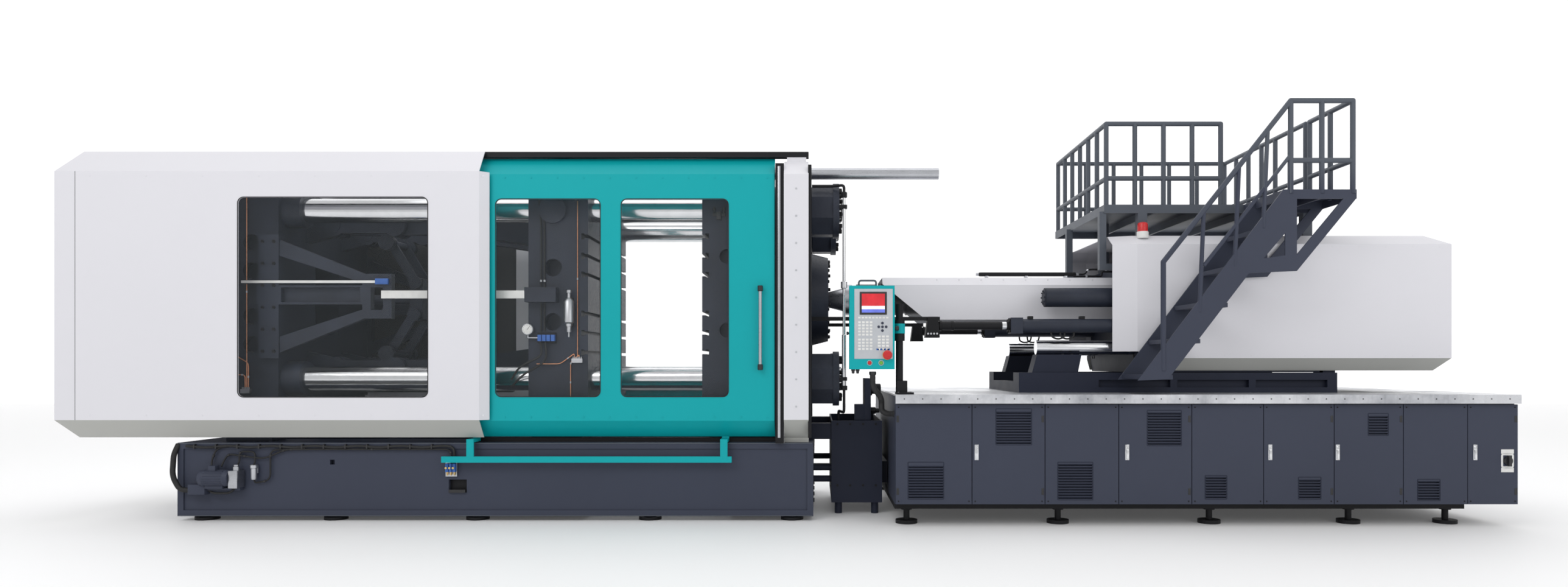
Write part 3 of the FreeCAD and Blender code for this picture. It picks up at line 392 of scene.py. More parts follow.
def window_ring(bm, x0, x1, z0, z1, r, width, y0, y1):
    """Flat ring round a window opening, between y0 and y1."""
    outer = rounded_loop(x0 - width, x1 + width, z0 - width, z1 + width, r + width)
    inner = rounded_loop(x0, x1, z0, z1, r)
    hoop(bm, [[bm.verts.new(point(x, y, z)) for x, z in loop]
              for loop, y in ((outer, y0), (outer, y1), (inner, y1), (inner, y0))])


def plate(bm, outline, y0, y1):
    """Flat plate cut to an outline in XZ, from y0 to y1."""
    near = [bm.verts.new(point(x, y0, z)) for x, z in outline]
    far = [bm.verts.new(point(x, y1, z)) for x, z in outline]
    bm.faces.new(near)
    bm.faces.new(list(reversed(far)))
    for i in range(len(near)):
        j = (i + 1) % len(near)
        bm.faces.new((near[i], far[i], far[j], near[j]))


def ring(bm, origin, direction, inner, outer, height):
    """Flat ring with a hole, standing on a face, its outer edge broken by 1 mm."""
    axis = Vector(direction).normalized()
    turn = axis.to_track_quat("Z", "Y").to_matrix()
    base = point(*origin)
    section = ((0.0, inner), (0.0, outer), (height - 1.0, outer), (height, outer - 1.0), (height, inner))
    sides = 36
    angles = [2 * math.pi * i / sides for i in range(sides)]
    hoop(bm, [[bm.verts.new(base + turn @ point(radius * math.cos(angle), radius * math.sin(angle), along))
               for angle in angles] for along, radius in section])


def piece(name, bm, finish, body="root", round_angle=35.0):
    """Turns a bmesh into a finished object that rides on a body."""
    bmesh.ops.recalc_face_normals(bm, faces=bm.faces)
    mesh = bpy.data.meshes.new(name)
    bm.to_mesh(mesh)
    bm.free()
    mesh.materials.append(PAINT[finish])
    mesh.shade_smooth()
    mesh.set_sharp_from_angle(angle=math.radians(round_angle))
    made = bpy.data.objects.new(name, mesh)
    bpy.context.scene.collection.objects.link(made)
    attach(made, body)
    return made


# ---------------------------------------------------------------- repeated fasteners, by Geometry Nodes
def repeat_tree(kind):
    """Node tree that repeats a bolt or a slat along a line of points."""
    tree = bpy.data.node_groups.new(kind + "_row", "GeometryNodeTree")
    sockets = tree.interface
    sockets.new_socket("Geometry", in_out="OUTPUT", socket_type="NodeSocketGeometry")
    wanted = [("Count", "NodeSocketInt"), ("Start", "NodeSocketVector"), ("Step", "NodeSocketVector"),
              ("Turn", "NodeSocketVector"), ("Size", "NodeSocketVector"), ("Sides", "NodeSocketInt"),
              ("Material", "NodeSocketMaterial")]
    for name, socket_type in wanted:
        sockets.new_socket(name, in_out="INPUT", socket_type=socket_type)
    given = tree.nodes.new("NodeGroupInput")
    line = tree.nodes.new("GeometryNodeMeshLine")
    spread = tree.nodes.new("GeometryNodeInstanceOnPoints")
    real = tree.nodes.new("GeometryNodeRealizeInstances")
    colour = tree.nodes.new("GeometryNodeSetMaterial")
    result = tree.nodes.new("NodeGroupOutput")
    link = tree.links.new
    link(given.outputs["Count"], line.inputs["Count"])
    link(given.outputs["Start"], line.inputs["Start Location"])
    link(given.outputs["Step"], line.inputs["Offset"])
    link(line.outputs["Mesh"], spread.inputs["Points"])
    if kind == "bolt":
        shape = tree.nodes.new("GeometryNodeMeshCylinder")
        parts = tree.nodes.new("ShaderNodeSeparateXYZ")
        link(given.outputs["Size"], parts.inputs["Vector"])
        link(given.outputs["Sides"], shape.inputs["Vertices"])
        link(parts.outputs["X"], shape.inputs["Radius"])
        link(parts.outputs["Z"], shape.inputs["Depth"])
    else:
        shape = tree.nodes.new("GeometryNodeMeshCube")
        link(given.outputs["Size"], shape.inputs["Size"])
    link(shape.outputs["Mesh"], spread.inputs["Instance"])
    link(given.outputs["Turn"], spread.inputs["Rotation"])
    link(spread.outputs["Instances"], real.inputs["Geometry"])
    link(real.outputs["Geometry"], colour.inputs["Geometry"])
    link(given.outputs["Material"], colour.inputs["Material"])
    link(colour.outputs["Geometry"], result.inputs["Geometry"])
    return tree


TREES = {kind: repeat_tree(kind) for kind in ("bolt", "slat")}
FACE_UP = (0.0, 0.0, 0.0)
FACE_FRONT = (90.0, 0.0, 0.0)
FACE_SIDE = (0.0, 90.0, 0.0)


def repeated(kind, count, start, step, size, finish, turn=FACE_UP, sides=6):
    """Plain mesh of a row, made by the node tree and then detached from it."""
    tree = TREES[kind]
    holder = bpy.data.objects.new("row", bpy.data.meshes.new("row"))
    bpy.context.scene.collection.objects.link(holder)
    modifier = holder.modifiers.new("row", "NODES")
    modifier.node_group = tree
    values = {"Count": count, "Start": point(*start), "Step": point(*step), "Size": point(*size),
              "Turn": Vector(math.radians(a) for a in turn), "Sides": sides, "Material": PAINT[finish]}
    for item in tree.interface.items_tree:
        if item.in_out == "INPUT":
            modifier[item.identifier] = values[item.name]
    graph = bpy.context.evaluated_depsgraph_get()
    mesh = bpy.data.meshes.new_from_object(holder.evaluated_get(graph))
    holder.modifiers.remove(modifier)
    bpy.data.objects.remove(holder)
    return mesh


def row_piece(name, rows, finish, body="root"):
    """One object from several repeated rows, each a dict of repeated()'s arguments."""
    bm = bmesh.new()
    for row in rows:
        mesh = repeated(finish=finish, **row)
        bm.from_mesh(mesh)
        bpy.data.meshes.remove(mesh)
    return piece(name, bm, finish, body, 30.0)


def bolts(count, start, step, radius, height, turn=FACE_UP, sides=6):
    """Row of hexagon heads from start, each one step further."""
    return dict(kind="bolt", count=count, start=start, step=step, size=(radius, 0, height),
                turn=turn, sides=sides)


def screws(count, start, step, radius, height):
    """Row of round screw heads on a face that looks to the front or the back."""
    return bolts(count, start, step, radius, height, FACE_FRONT, 12)


# ---------------------------------------------------------------- places that fittings share, in millimetres
def low(node):
    """Lowest corner of a node of the frame."""
    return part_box(node)[0] * 1000.0


def high(node):
    """Highest corner of a node of the frame."""
    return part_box(node)[1] * 1000.0


FRONT, BACK = -1, 1
SIDES = ((FRONT, "front"), (BACK, "back"))
WINDOW_CORNER = 45.0
RUBBER_WIDTH = 7.0
PLATEN_SIDE = 830.0
DOOR_FACE = 1060.0
TIE_BAR_Y, TIE_BAR_Z = 650.0, (1185.0, 2645.0)
RAM_Y, RAM_Z = 560.0, 1898.0
ROD_Y, ROD_Z = 650.0, 1645.0
BED_WALL = low("clamp_bed").y


# ---------------------------------------------------------------- finishes of the frame's own nodes
CAD_FINISH = {
    "white": ["clamp_cover_front", "clamp_cover_back", "clamp_cover_end", "door_frame", "barrel_guard",
              "injection_cover"],
    "teal": ["front_door", "back_door", "control_panel"],
    "slate": ["clamp_bed", "injection_bed", "rear_panels", "stairs"]
             + ["cabinet_door_%d" % number for number in range(1, 10)],
    "navy": ["pipe_trunk", "carriage", "carriage_rails", "injection_plate"],
    "casting": ["fixed_platen", "moving_platen", "rear_platen", "guide_brackets", "tie_bar_nuts",
                "adjusting_nuts", "crosshead", "rear_link_upper", "rear_link_lower", "front_link_upper",
                "front_link_lower", "crosshead_link_upper", "crosshead_link_lower", "carriage_cylinders"],
    "black": ["traction_rods", "clamp_cylinder", "panel_post", "levelling_pads", "power_pack"],
    "grey": ["platform"],
    "chrome": ["tie_bars"],
    "steel": ["barrel", "screw", "ejector_plate", "safety_rod"],
    "label": ["position_bar"],
    "tread": ["deck_plate"],
    "clear": ["cover_windows", "front_door_windows", "back_door_windows"],
    "plastic": ["switch_grip"],
    "red": ["emergency_stop", "stop_button"],
    "green": ["start_button"],
}


def coat_node(name, finish):
    """Gives a node of the frame one finish all over."""
    node = nodes[name]
    node.data.materials.clear()
    node.data.materials.append(PAINT[finish])


def coat_part(name, finish, inside):
    """Gives another finish to the faces whose middle is in a region of the node."""
    data = nodes[name].data
    data.materials.append(PAINT[finish])
    index = len(data.materials) - 1
    for face in data.polygons:
        if inside(face.center * 1000.0):
            face.material_index = index


def coat_frame():
    """Finishes of every node, then of the parts of a node that differ from the rest; the pale grey on the
    lower bevels of the white covers and the door post is painted shade.
    """
    for finish, names in CAD_FINISH.items():
        for name in names:
            coat_node(name, finish)
    # heights below which the lower bevels get the painted shade
    cover_shade_top, tail_shade_top, jamb_shade_top = 847.0, 1360.0, 849.0
    handrail_foot = high("deck_plate").z + 1760.0
    regions = [
        # the far cover windows get the dark sheet, as painted shade for the inside of the clamp
        ("cover_windows", "interior_shade", lambda c: c.y > 0.0),
        ("carriage_rails", "chrome", lambda c: c.z > 1395.0),
        # painted shade on the lower bevels of the clamp covers and the injection cover
        ("clamp_cover_front", "shade", lambda c: c.z < cover_shade_top),
        ("clamp_cover_back", "shade", lambda c: c.z < cover_shade_top),
        ("clamp_cover_end", "shade", lambda c: c.z < cover_shade_top),
        ("injection_cover", "shade", lambda c: c.z < tail_shade_top),
        ("door_frame", "black", lambda c: c.z > 3040.0 or c.x < 36.5),
        # painted shade on the lower bevel of the door post
        ("door_frame", "shade", lambda c: c.x > 37.5 and c.z < jamb_shade_top),
        ("injection_bed", "black", lambda c: c.z < 180.0),
        ("power_pack", "slate", lambda c: c.z < 781.0),
        ("barrel", "plastic", lambda c: 640.0 < c.x < 2720.0),
        ("stairs", "grey", lambda c: c.z > handrail_foot),
        ("safety_rod", "casting", lambda c: c.x < -1895.0),
        ("position_bar", "casting", lambda c: c.x > -2161.5),
    ]
    for name, finish, inside in regions:
        coat_part(name, finish, inside)


# ---------------------------------------------------------------- clamp end
def make_cover_windows():
    """Rubber frames of the clamp covers' long windows."""
    a, b = low("cover_windows"), high("cover_windows")
    lap = 25.0
    face = abs(low("clamp_cover_front").y)
    for side, tag in SIDES:
        bm = bmesh.new()
        window_ring(bm, a.x + lap, b.x - lap, a.z + lap, b.z - lap, WINDOW_CORNER, RUBBER_WIDTH,
                    side * (face + 2.5), side * (face - 0.5))
        piece("cover_window_rubber_" + tag, bm, "rubber")


def make_cover_trim():
    """Fixing screws and end seams of the clamp covers."""
    a, b = low("clamp_cover_front"), high("clamp_cover_front")
    rows = []
    for side in (FRONT, BACK):
        for z in (a.z + 190.0, b.z - 230.0):
            rows.append(screws(8, (a.x + 120.0, side * (abs(a.y) + 1.0), z), (462.0, 0, 0), 7.0, 3.0))
    row_piece("cover_screws", rows, "white")
    bm = bmesh.new()
    seam = a.x
    for side in (FRONT, BACK):
        y = side * abs(a.y)
        block(bm, seam - 2.0, seam + 2.0, y - 0.6, y + 0.6, a.z + 150.0, b.z - 191.0, 0.4)
    piece("cover_seams", bm, "plastic")


DOOR_LEFT = -2560.0
DOOR_WINDOWS = {"front_door": ((204.0, 1067.0), (1247.0, 2132.0)), "back_door": ((204.0, 2132.0),)}


def make_door_fittings(side, node):
    """Window rubbers, pull handle and screws of one sliding door; side is -1 in front, 1 behind."""
    face = side * DOOR_FACE
    bm = bmesh.new()
    for start, end in DOOR_WINDOWS[node]:
        window_ring(bm, DOOR_LEFT + start, DOOR_LEFT + end, 1042.0, 2678.0, WINDOW_CORNER, RUBBER_WIDTH,
                    face + side * 2.5, face - side * 0.5)
    piece(node + "_rubbers", bm, "rubber", node)
    bm = bmesh.new()
    x = high(node).x - 116.0
    grip = face + side * 44.0
    rod(bm, (x, grip, 1278.0), (x, grip, 1942.0), 15.0, 28, 4.0)
    piece(node + "_pull", bm, "steel", node)
    bm = bmesh.new()
    for z in (1285.0, 1935.0):
        block(bm, x - 16.0, x + 16.0, face - side * 1.0, face + side * 40.0, z - 16.0, z + 16.0, 5.0)
        rod(bm, (x, grip, z - 24.0), (x, grip, z + 24.0), 22.0, 28, 4.0)
    piece(node + "_pull_feet", bm, "plastic", node)
    rows = [screws(12, (DOOR_LEFT + 60.0, face + side * 1.5, z), (218.0, 0, 0), 7.0, 4.0)
            for z in (870.0, 2858.0)]
    row_piece(node + "_screws", rows, "teal", node)


def make_jamb():
    """Bright striker strips that the doors close against, black edges and screws of the frame's posts."""
    for side, name in SIDES:
        bm = bmesh.new()
        block(bm, -14.0, 8.0, side * 1080.5, side * 1088.0, 700.0, 2950.0, 2.0)
        piece("jamb_strip_" + name, bm, "steel")
        bm = bmesh.new()
        block(bm, 237.0, 266.0, side * 1006.0, side * 1100.0, 700.0, 2960.0, 3.0)
        piece("post_edge_" + name, bm, "black")
        rows = [screws(9, (139.0, side * 1111.0, 960.0), (0, 0, 225.0), 8.0, 5.0)]
        row_piece("post_screws_" + name, rows, "zinc")


def clipped(bm, route, radius):
    """Small clips along a tube's route."""
    pitch = 230.0
    travelled = pitch / 2
    for a, b in zip(route, route[1:]):
        run = (b - a).length
        travelled += run
        if travelled > pitch and run > 1e-6:
            travelled = 0.0
            way = (b - a).normalized()
            middle = a.lerp(b, 0.5)
            rod(bm, tuple(middle - way * 9.0), tuple(middle + way * 9.0), radius * 1.5, 12, 2.0)


def tubing(name, runs, radius, finish, body, clips, bend):
    """Several bent tubes of one kind, with clips of a finish, or with none where clips is None."""
    bm, clip_bm = bmesh.new(), bmesh.new()
    for points in runs:
        route = bent_route(points, bend)
        tube(bm, route, radius, 12)
        clipped(clip_bm, route, radius)
    piece(name, bm, finish, body, 60.0)
    if clips:
        piece(name + "_clips", clip_bm, clips, body)
    else:
        clip_bm.free()


def distributor(bm, x, y, z, ways, side):
    """Lubrication distributor: block with a row of outlet nipples."""
    width = 14.0 * ways + 10.0
    block(bm, x - width / 2, x + width / 2, y, y + side * 30.0, z - 18.0, z + 18.0, 3.0)
    for i in range(ways):
        at = x - width / 2 + 12.0 + 14.0 * i
        rod(bm, (at, y + side * 15.0, z + 16.0), (at, y + side * 15.0, z + 34.0), 5.0, 8)


def make_platen_lubrication(side, tag):
    """Copper lubrication lines, distributors and black conduits on the platens' sides."""
    face = side * PLATEN_SIDE
    y = face + side * 14.0
    bm = bmesh.new()
    distributor(bm, -1733.0, face, 1340.0, 6, side)
    distributor(bm, -1733.0, face, 2730.0, 3, side)
    piece("moving_distributors_" + tag, bm, "zinc", "moving_platen")
    runs = [[(-1731.0, y, 1372.0), (-1731.0, y, 2702.0)],
            [(-1759.0, y, 1372.0), (-1759.0, y, 1400.0), (-1880.0, y, 1312.0), (-2080.0, y, 1312.0)],
            [(-1717.0, y, 1372.0), (-1717.0, y, 1390.0), (-1790.0, y, 1330.0), (-1790.0, y, 1010.0)]]
    tubing("moving_lines_" + tag, runs, 4.5, "copper", "moving_platen", "zinc", 30.0)
    runs = [[(x, y, 2740.0), (x + lean, y, 2480.0), (x + lean, y, 1590.0)]
            for x, lean in ((-2060.0, 18.0), (-2034.0, 22.0))]
    tubing("moving_conduits_" + tag, runs, 6.5, "rubber", "moving_platen", "zinc", 30.0)
    bm = bmesh.new()
    distributor(bm, -4560.0, face, 1080.0, 5, side)
    piece("rear_distributor_" + tag, bm, "zinc", "rear_platen")
    runs = [[(-4552.0, y, 1114.0), (-4552.0, y, 2740.0)],
            [(-4538.0, y, 1114.0), (-4538.0, y, 1320.0), (-4640.0, y, 1380.0), (-4640.0, y, 2300.0)],
            [(-4566.0, y, 1114.0), (-4566.0, y, 1220.0), (-4700.0, y, 1220.0), (-4700.0, y, 2700.0)]]
    tubing("rear_lines_" + tag, runs, 4.5, "copper", "rear_platen", "zinc", 30.0)


def make_gauge(centre, face, body):
    """Pressure gauge with its stem, dial, hand and nine marks."""
    x, z = centre
    bm = bmesh.new()
    lathe(bm, (x, face - 22.0, z), (0, -1, 0), [(0, 46), (4, 50), (26, 50), (30, 46), (30.5, 42)], 40)
    rod(bm, (x, face - 30.0, z - 46.0), (x, face - 30.0, z - 76.0), 8.0)
    rod(bm, (x, face - 30.0, z - 72.0), (x + 90.0, face - 30.0, z - 72.0), 6.0)
    piece("gauge_case", bm, "steel", body)
    bm = bmesh.new()
    rod(bm, (x, face - 52.0, z), (x, face - 53.5, z), 41.0, 40, 0.3)
    piece("gauge_dial", bm, "label", body)
    bm = bmesh.new()
    hand = ((-2.0, -4.0), (4.0, -2.0), (26.0, 28.0), (22.0, 26.0))
    plate(bm, [(x + dx, z + dz) for dx, dz in hand], face - 54.5, face - 53.6)
    for step in range(9):
        angle = math.radians(225.0 - 33.75 * step)
        cx, cz = x + 34.0 * math.cos(angle), z + 34.0 * math.sin(angle)
        block(bm, cx - 1.2, cx + 1.2, face - 54.3, face - 53.5, cz - 3.0, cz + 3.0, 0.2)
    piece("gauge_marks", bm, "plastic", body)


def make_air_unit():
    """Air receiver with its brackets, valves and hoses on the moving platen's operator side."""
    face, body = -PLATEN_SIDE, "moving_platen"
    bm = bmesh.new()
    lathe(bm, (-1795.0, face - 52.0, 1540.0), (0, 0, 1),
          [(0, 8), (40, 8), (42, 20), (86, 20), (88, 26), (112, 30), (124, 44), (300, 44), (326, 26),
           (334, 15), (372, 15), (376, 22), (398, 22), (402, 8)], 36)
    piece("air_receiver", bm, "zinc", body)
    bm = bmesh.new()
    for z in (1640.0, 1860.0):
        block(bm, -1822.0, -1768.0, face - 20.0, face + 0.5, z - 14.0, z + 14.0, 3.0)
    block(bm, -2075.0, -1915.0, face - 12.0, face, 1490.0, 1580.0, 3.0)
    piece("air_unit_brackets", bm, "black", body)
    bm = bmesh.new()
    for i in range(4):
        x = -2062.0 + 38.0 * i
        block(bm, x, x + 32.0, face - 58.0, face - 12.0, 1505.0, 1560.0, 4.0)
    piece("air_valves", bm, "blue", body)
    make_gauge((-2150.0, 1606.0), face, body)
    hoses = [[(-2040.0, face - 35.0, 1500.0), (-2040.0, face - 60.0, 1380.0), (-2200.0, face - 60.0, 1290.0),
              (-2290.0, face - 30.0, 1180.0)],
             [(-2000.0, face - 35.0, 1500.0), (-2000.0, face - 60.0, 1340.0), (-2180.0, face - 50.0, 1220.0),
              (-2290.0, face - 20.0, 1120.0)]]
    bm = bmesh.new()
    for points in hoses:
        tube(bm, smooth_route(points, 8), 9.0, 12)
    piece("air_hoses", bm, "rubber", body, 60.0)


def make_mould_clamp():
    """Clamp and its screws near the top of the fixed platen's operator side."""
    face = -PLATEN_SIDE
    axis = face - 8.0
    bm = bmesh.new()
    block(bm, -580.0, -470.0, face - 16.0, face + 0.5, 2575.0, 2600.0, 3.0)
    block(bm, -545.0, -505.0, face - 32.0, face + 0.5, 2540.0, 2610.0, 4.0)
    for x in (-566.0, -484.0):
        rod(bm, (x, axis, 2590.0), (x, axis, 2650.0), 8.0)
        lathe(bm, (x, axis, 2622.0), (0, 0, 1), [(0, 14), (16, 14)], 6)
    piece("mould_clamp", bm, "plastic")


def make_stroke_scale():
    """Position transducer with its head on the guide bracket, and the bolts of both brackets."""
    bm = bmesh.new()
    block(bm, -4560.0, -3330.0, -915.0, -903.5, 1996.0, 2018.0, 2.0)
    piece("transducer_rail", bm, "label", "rear_platen")
    bm = bmesh.new()
    block(bm, -3420.0, -3310.0, -934.0, -904.0, 1984.0, 2034.0, 5.0)
    piece("transducer_head", bm, "blue", "rear_platen")
    rows = []
    for side in (FRONT, BACK):
        rows += [bolts(6, (x, side * 903.0, 1420.0), (0, 0, 186.0), 15.0, 12.0, FACE_FRONT)
                 for x in (-4385.0, -4290.0)]
    row_piece("bracket_bolts", rows, "black", "rear_platen")


def make_nut_bolts():
    """Ring of ten hexagon screws and a raised boss on each tie bar nut."""
    count, circle = 10, 178.0
    bm = bmesh.new()
    for y in (-TIE_BAR_Y, TIE_BAR_Y):
        for z in TIE_BAR_Z:
            for step in range(count):
                angle = math.radians(360.0 / count * (step + 0.5))
                by, bz = y + circle * math.cos(angle), z + circle * math.sin(angle)
                lathe(bm, (501.0, by, bz), (1, 0, 0), [(0, 21), (24, 21), (28, 17)], 6)
            lathe(bm, (519.0, y, z), (1, 0, 0), [(0, 88), (8, 92), (12, 84)], 40)
    piece("nut_screws", bm, "black")


# ---------------------------------------------------------------- between clamp and injection
def make_oil_riser():
    """Bright vertical oil pipe held on the tie bar nuts' flanges."""
    x, y = 541.0, -880.0
    bm = bmesh.new()
    rod(bm, (x, y, 1126.0), (x, y, 2739.0), 13.0, 28)
    rod(bm, (x, y, 1100.0), (x, y, 1560.0), 19.0, 28, 3.0)
    lathe(bm, (x, y, 1952.0), (0, 0, 1), [(0, 20), (4, 27), (56, 27), (60, 20)], 32)
    piece("oil_riser", bm, "chrome")
    bm = bmesh.new()
    for z in TIE_BAR_Z:
        block(bm, 501.0, x + 26.0, y - 24.0, y + 36.0, z - 16.0, z + 16.0, 3.0)
    lathe(bm, (x, y, 2722.0), (0, 0, 1), [(0, 22), (6, 26), (44, 26), (50, 20)], 6)
    lathe(bm, (x, y, 1088.0), (0, 0, 1), [(0, 24), (4, 28), (36, 28), (40, 24)], 6)
    piece("oil_riser_clips", bm, "black")
    runs = [[(x, y, 2766.0), (x, y, 2830.0), (430.0, y + 60.0, 2830.0), (268.0, y + 60.0, 2830.0)],
            [(x, y, 1094.0), (x, y, 900.0), (x - 40.0, -560.0, 900.0), (x - 40.0, -560.0, 796.0)]]
    tubing("oil_riser_ends", runs, 12.0, "black", "root", None, 50.0)


def make_platen_back():
    """Ring of screws round the funnel, and lubrication lines, on the back of the fixed platen."""
    count, circle, funnel_z = 16, 355.0, 1915.0
    bm = bmesh.new()
    for step in range(count):
        angle = math.radians(360.0 / count * (step + 0.5))
        lathe(bm, (412.0, circle * math.cos(angle), funnel_z + circle * math.sin(angle)), (1, 0, 0),
              [(0, 17), (18, 17), (22, 13)], 6)
    piece("funnel_screws", bm, "black")
    runs = [[(-215.0, -700.0 - gap, 1100.0), (-215.0, -700.0 - gap, 1500.0 - drop),
             (-215.0, -760.0 - gap, 1560.0 - drop), (-215.0, -760.0 - gap, 2700.0)]
            for gap, drop in ((0.0, 0.0), (16.0, 20.0))]
    tubing("platen_back_lines", runs, 5.0, "copper", "root", "zinc", 30.0)


def make_pipe_bay():
    """Upright plate, valve stub and bolts between the two beds."""
    bm = bmesh.new()
    block(bm, 730.0, 785.0, -600.0, -260.0, 814.0, 1185.0, 4.0)
    block(bm, 640.0, 735.0, -600.0, -560.0, 814.0, 960.0, 4.0)
    piece("bay_plate", bm, "navy")
    bm = bmesh.new()
    lathe(bm, (784.0, -430.0, 1090.0), (1, 0, 0), [(0, 60), (20, 60), (22, 46), (92, 46), (98, 38)], 36)
    lathe(bm, (784.0, -520.0, 900.0), (1, 0, 0), [(0, 34), (44, 34), (48, 22), (80, 22)], 6)
    piece("bay_valve", bm, "black")
    rows = [bolts(4, (490.0, -621.0, z), (112.0, 0, 0), 11.0, 8.0, FACE_FRONT) for z in (250.0, 786.0)]
    row_piece("bay_bolts", rows, "black")


# ---------------------------------------------------------------- control panel
def keypad(bm, x0, z0, columns, rows, width, height, gap, face):
    """Grid of keys that starts at its upper left corner."""
    for i in range(columns):
        for j in range(rows):
            x, z = x0 + i * (width + gap), z0 - j * (height + gap)
            block(bm, x, x + width, face - 2.2, face + 0.5, z - height, z, 1.0)


def make_panel_screen(body, face):
    """Key membrane, and the screen with its three lit fields."""
    bm = bmesh.new()
    block(bm, 612.0, 921.0, face - 3.0, face + 0.5, 1352.0, 1916.0, 1.5)
    piece("panel_membrane", bm, "membrane", body)
    bm = bmesh.new()
    block(bm, 655.0, 873.0, face - 8.0, face - 2.0, 1708.0, 1892.0, 3.0)
    piece("screen_bezel", bm, "plastic", body)
    for name, z0, z1, finish in (("screen_field_upper", 1778.0, 1877.0, "screen_red"),
                                 ("screen_field_middle", 1752.0, 1778.0, "screen_white"),
                                 ("screen_field_lower", 1725.0, 1752.0, "screen_blue")):
        bm = bmesh.new()
        block(bm, 671.0, 857.0, face - 8.8, face - 7.5, z0, z1, 0.2)
        piece(name, bm, finish, body)


def make_panel_keys(body, face):
    """Groups of keys, the round arrow keys and the row of motor keys."""
    top = face - 3.0
    bm = bmesh.new()
    keypad(bm, 642.0, 1690.0, 9, 1, 20.0, 12.0, 8.0, top)
    keypad(bm, 642.0, 1655.0, 4, 5, 22.0, 16.0, 9.0, top)
    keypad(bm, 642.0, 1515.0, 4, 4, 22.0, 16.0, 9.0, top)
    keypad(bm, 800.0, 1540.0, 3, 5, 24.0, 16.0, 9.0, top)
    piece("panel_keys", bm, "label", body)
    bm = bmesh.new()
    for dx, dz in ((0, 30), (0, -30), (30, 0), (-30, 0), (0, 0)):
        lathe(bm, (838.0 + dx, face - 2.8, 1610.0 + dz), (0, -1, 0), [(0, 11), (2.4, 11), (3.4, 9.5)], 24)
    piece("panel_arrow_keys", bm, "slate", body)
    bm = bmesh.new()
    keypad(bm, 790.0, 1436.0, 4, 1, 20.0, 14.0, 9.0, top)
    piece("panel_motor_keys", bm, "blue", body)


def make_button_rings(body, face):
    """Bright rings round the start and stop buttons, and the emergency stop's collar."""
    bm = bmesh.new()
    for node in ("start_button", "stop_button"):
        a, b = low(node), high(node)
        middle, radius = (a + b) / 2, (b.x - a.x) / 2
        ring(bm, (middle.x, face + 0.5, middle.z), (0, -1, 0), radius + 3.0, radius + 8.0, 5.0)
    piece("button_rings", bm, "zinc", body)
    middle = (low("emergency_stop") + high("emergency_stop")) / 2
    bm = bmesh.new()
    ring(bm, (middle.x, face + 0.5, middle.z), (0, -1, 0), 29.0, 38.0, 4.5)
    piece("stop_collar", bm, "yellow", body)


def make_panel_case_fittings(body, face):
    """Carrying handle, cable glands and the seam round the panel's case."""
    a, b = low(body), high(body)
    depth, left, right = -1250.0, 572.0, 937.0
    bm = bmesh.new()
    handle = [(x, depth, b.z + rise)
              for x, rise in ((650.0, -4.0), (650.0, 44.0), (790.0, 44.0), (790.0, -4.0))]
    tube(bm, bent_route(handle, 20.0), 8.0, 16)
    piece("panel_handle", bm, "grey", body, 60.0)
    bm = bmesh.new()
    for x in (604.0, 640.0):
        lathe(bm, (x, depth, a.z + 3.0), (0, 0, -1), [(0, 17), (14, 17), (16, 13), (34, 11), (38, 8)], 24)
    lathe(bm, (right - 0.5, depth, 1600.0), (1, 0, 0), [(0, 12), (12, 12), (14, 20), (34, 20), (38, 15)], 24)
    lathe(bm, (left + 0.5, depth, 1560.0), (-1, 0, 0), [(0, 8), (6, 8), (8, 14), (20, 14), (23, 10)], 24)
    piece("panel_glands", bm, "plastic", body)
    bm = bmesh.new()
    seam = face + 22.0
    for x in (left - 1.0, right):
        block(bm, x - 0.8, x + 0.8, seam - 1.5, seam + 1.5, 1275.0, 1936.0, 0.4)
    piece("panel_case_seam", bm, "plastic", body)


def make_panel_fittings():
    """Everything on the control panel that isn't a moving button."""
    body, face = "control_panel", low("control_panel").y
    make_panel_screen(body, face)
    make_panel_keys(body, face)
    make_button_rings(body, face)
    make_panel_case_fittings(body, face)


def make_panel_conduit():
    """Ribbed rigid conduit that brings the cables up under the panel from the deck's end."""
    route = bent_route([(762.0, -1250.0, 1226.0), (762.0, -1250.0, 1120.0), (838.0, -1190.0, 1040.0),
                        (838.0, -1190.0, 930.0), (880.0, -1190.0, 905.0), (944.0, -1190.0, 905.0)], 60.0, 8)
    bm = bmesh.new()
    tube(bm, route, 22.0, 20, (9.0, 2.5))
    piece("cable_conduit", bm, "rubber", "root", 60.0)
    bm = bmesh.new()
    lathe(bm, (762.0, -1250.0, 1222.0), (0, 0, 1), [(0, 25), (4, 29), (24, 29), (28, 26)], 6)
    lathe(bm, (944.0, -1190.0, 905.0), (-1, 0, 0), [(0, 30), (16, 30), (18, 26), (30, 26)], 6)
    piece("conduit_glands", bm, "plastic")
    a = low("panel_post")
    rows = [bolts(2, (970.0, y, a.z + 15.0), (110.0, 0, 0), 9.0, 7.0)
            for y in (-1260.0, -1120.0)]
    row_piece("post_foot_bolts", rows, "zinc")


# ---------------------------------------------------------------- cabinet
SCREW_INSET = 22.0
SCREW_LEVELS = (206.0, 962.0)
LOUVRE_PITCH = 22.0
LOUVRES = {1: (1049, 1326, 232, 516), 2: (1756, 2033, 668, 946), 3: (2254, 2526, 226, 516),
           4: (2974, 3239, 662, 933), 5: (3441, 3605, 232, 409), 6: (4192, 4362, 232, 396),
           7: (4753, 4905, 744, 908), 8: (5151, 5321, 220, 378)}
HANDLES = {2: 1595.0, 4: 2807.0, 6: 3958.0, 7: 4501.0, 9: 5608.0}


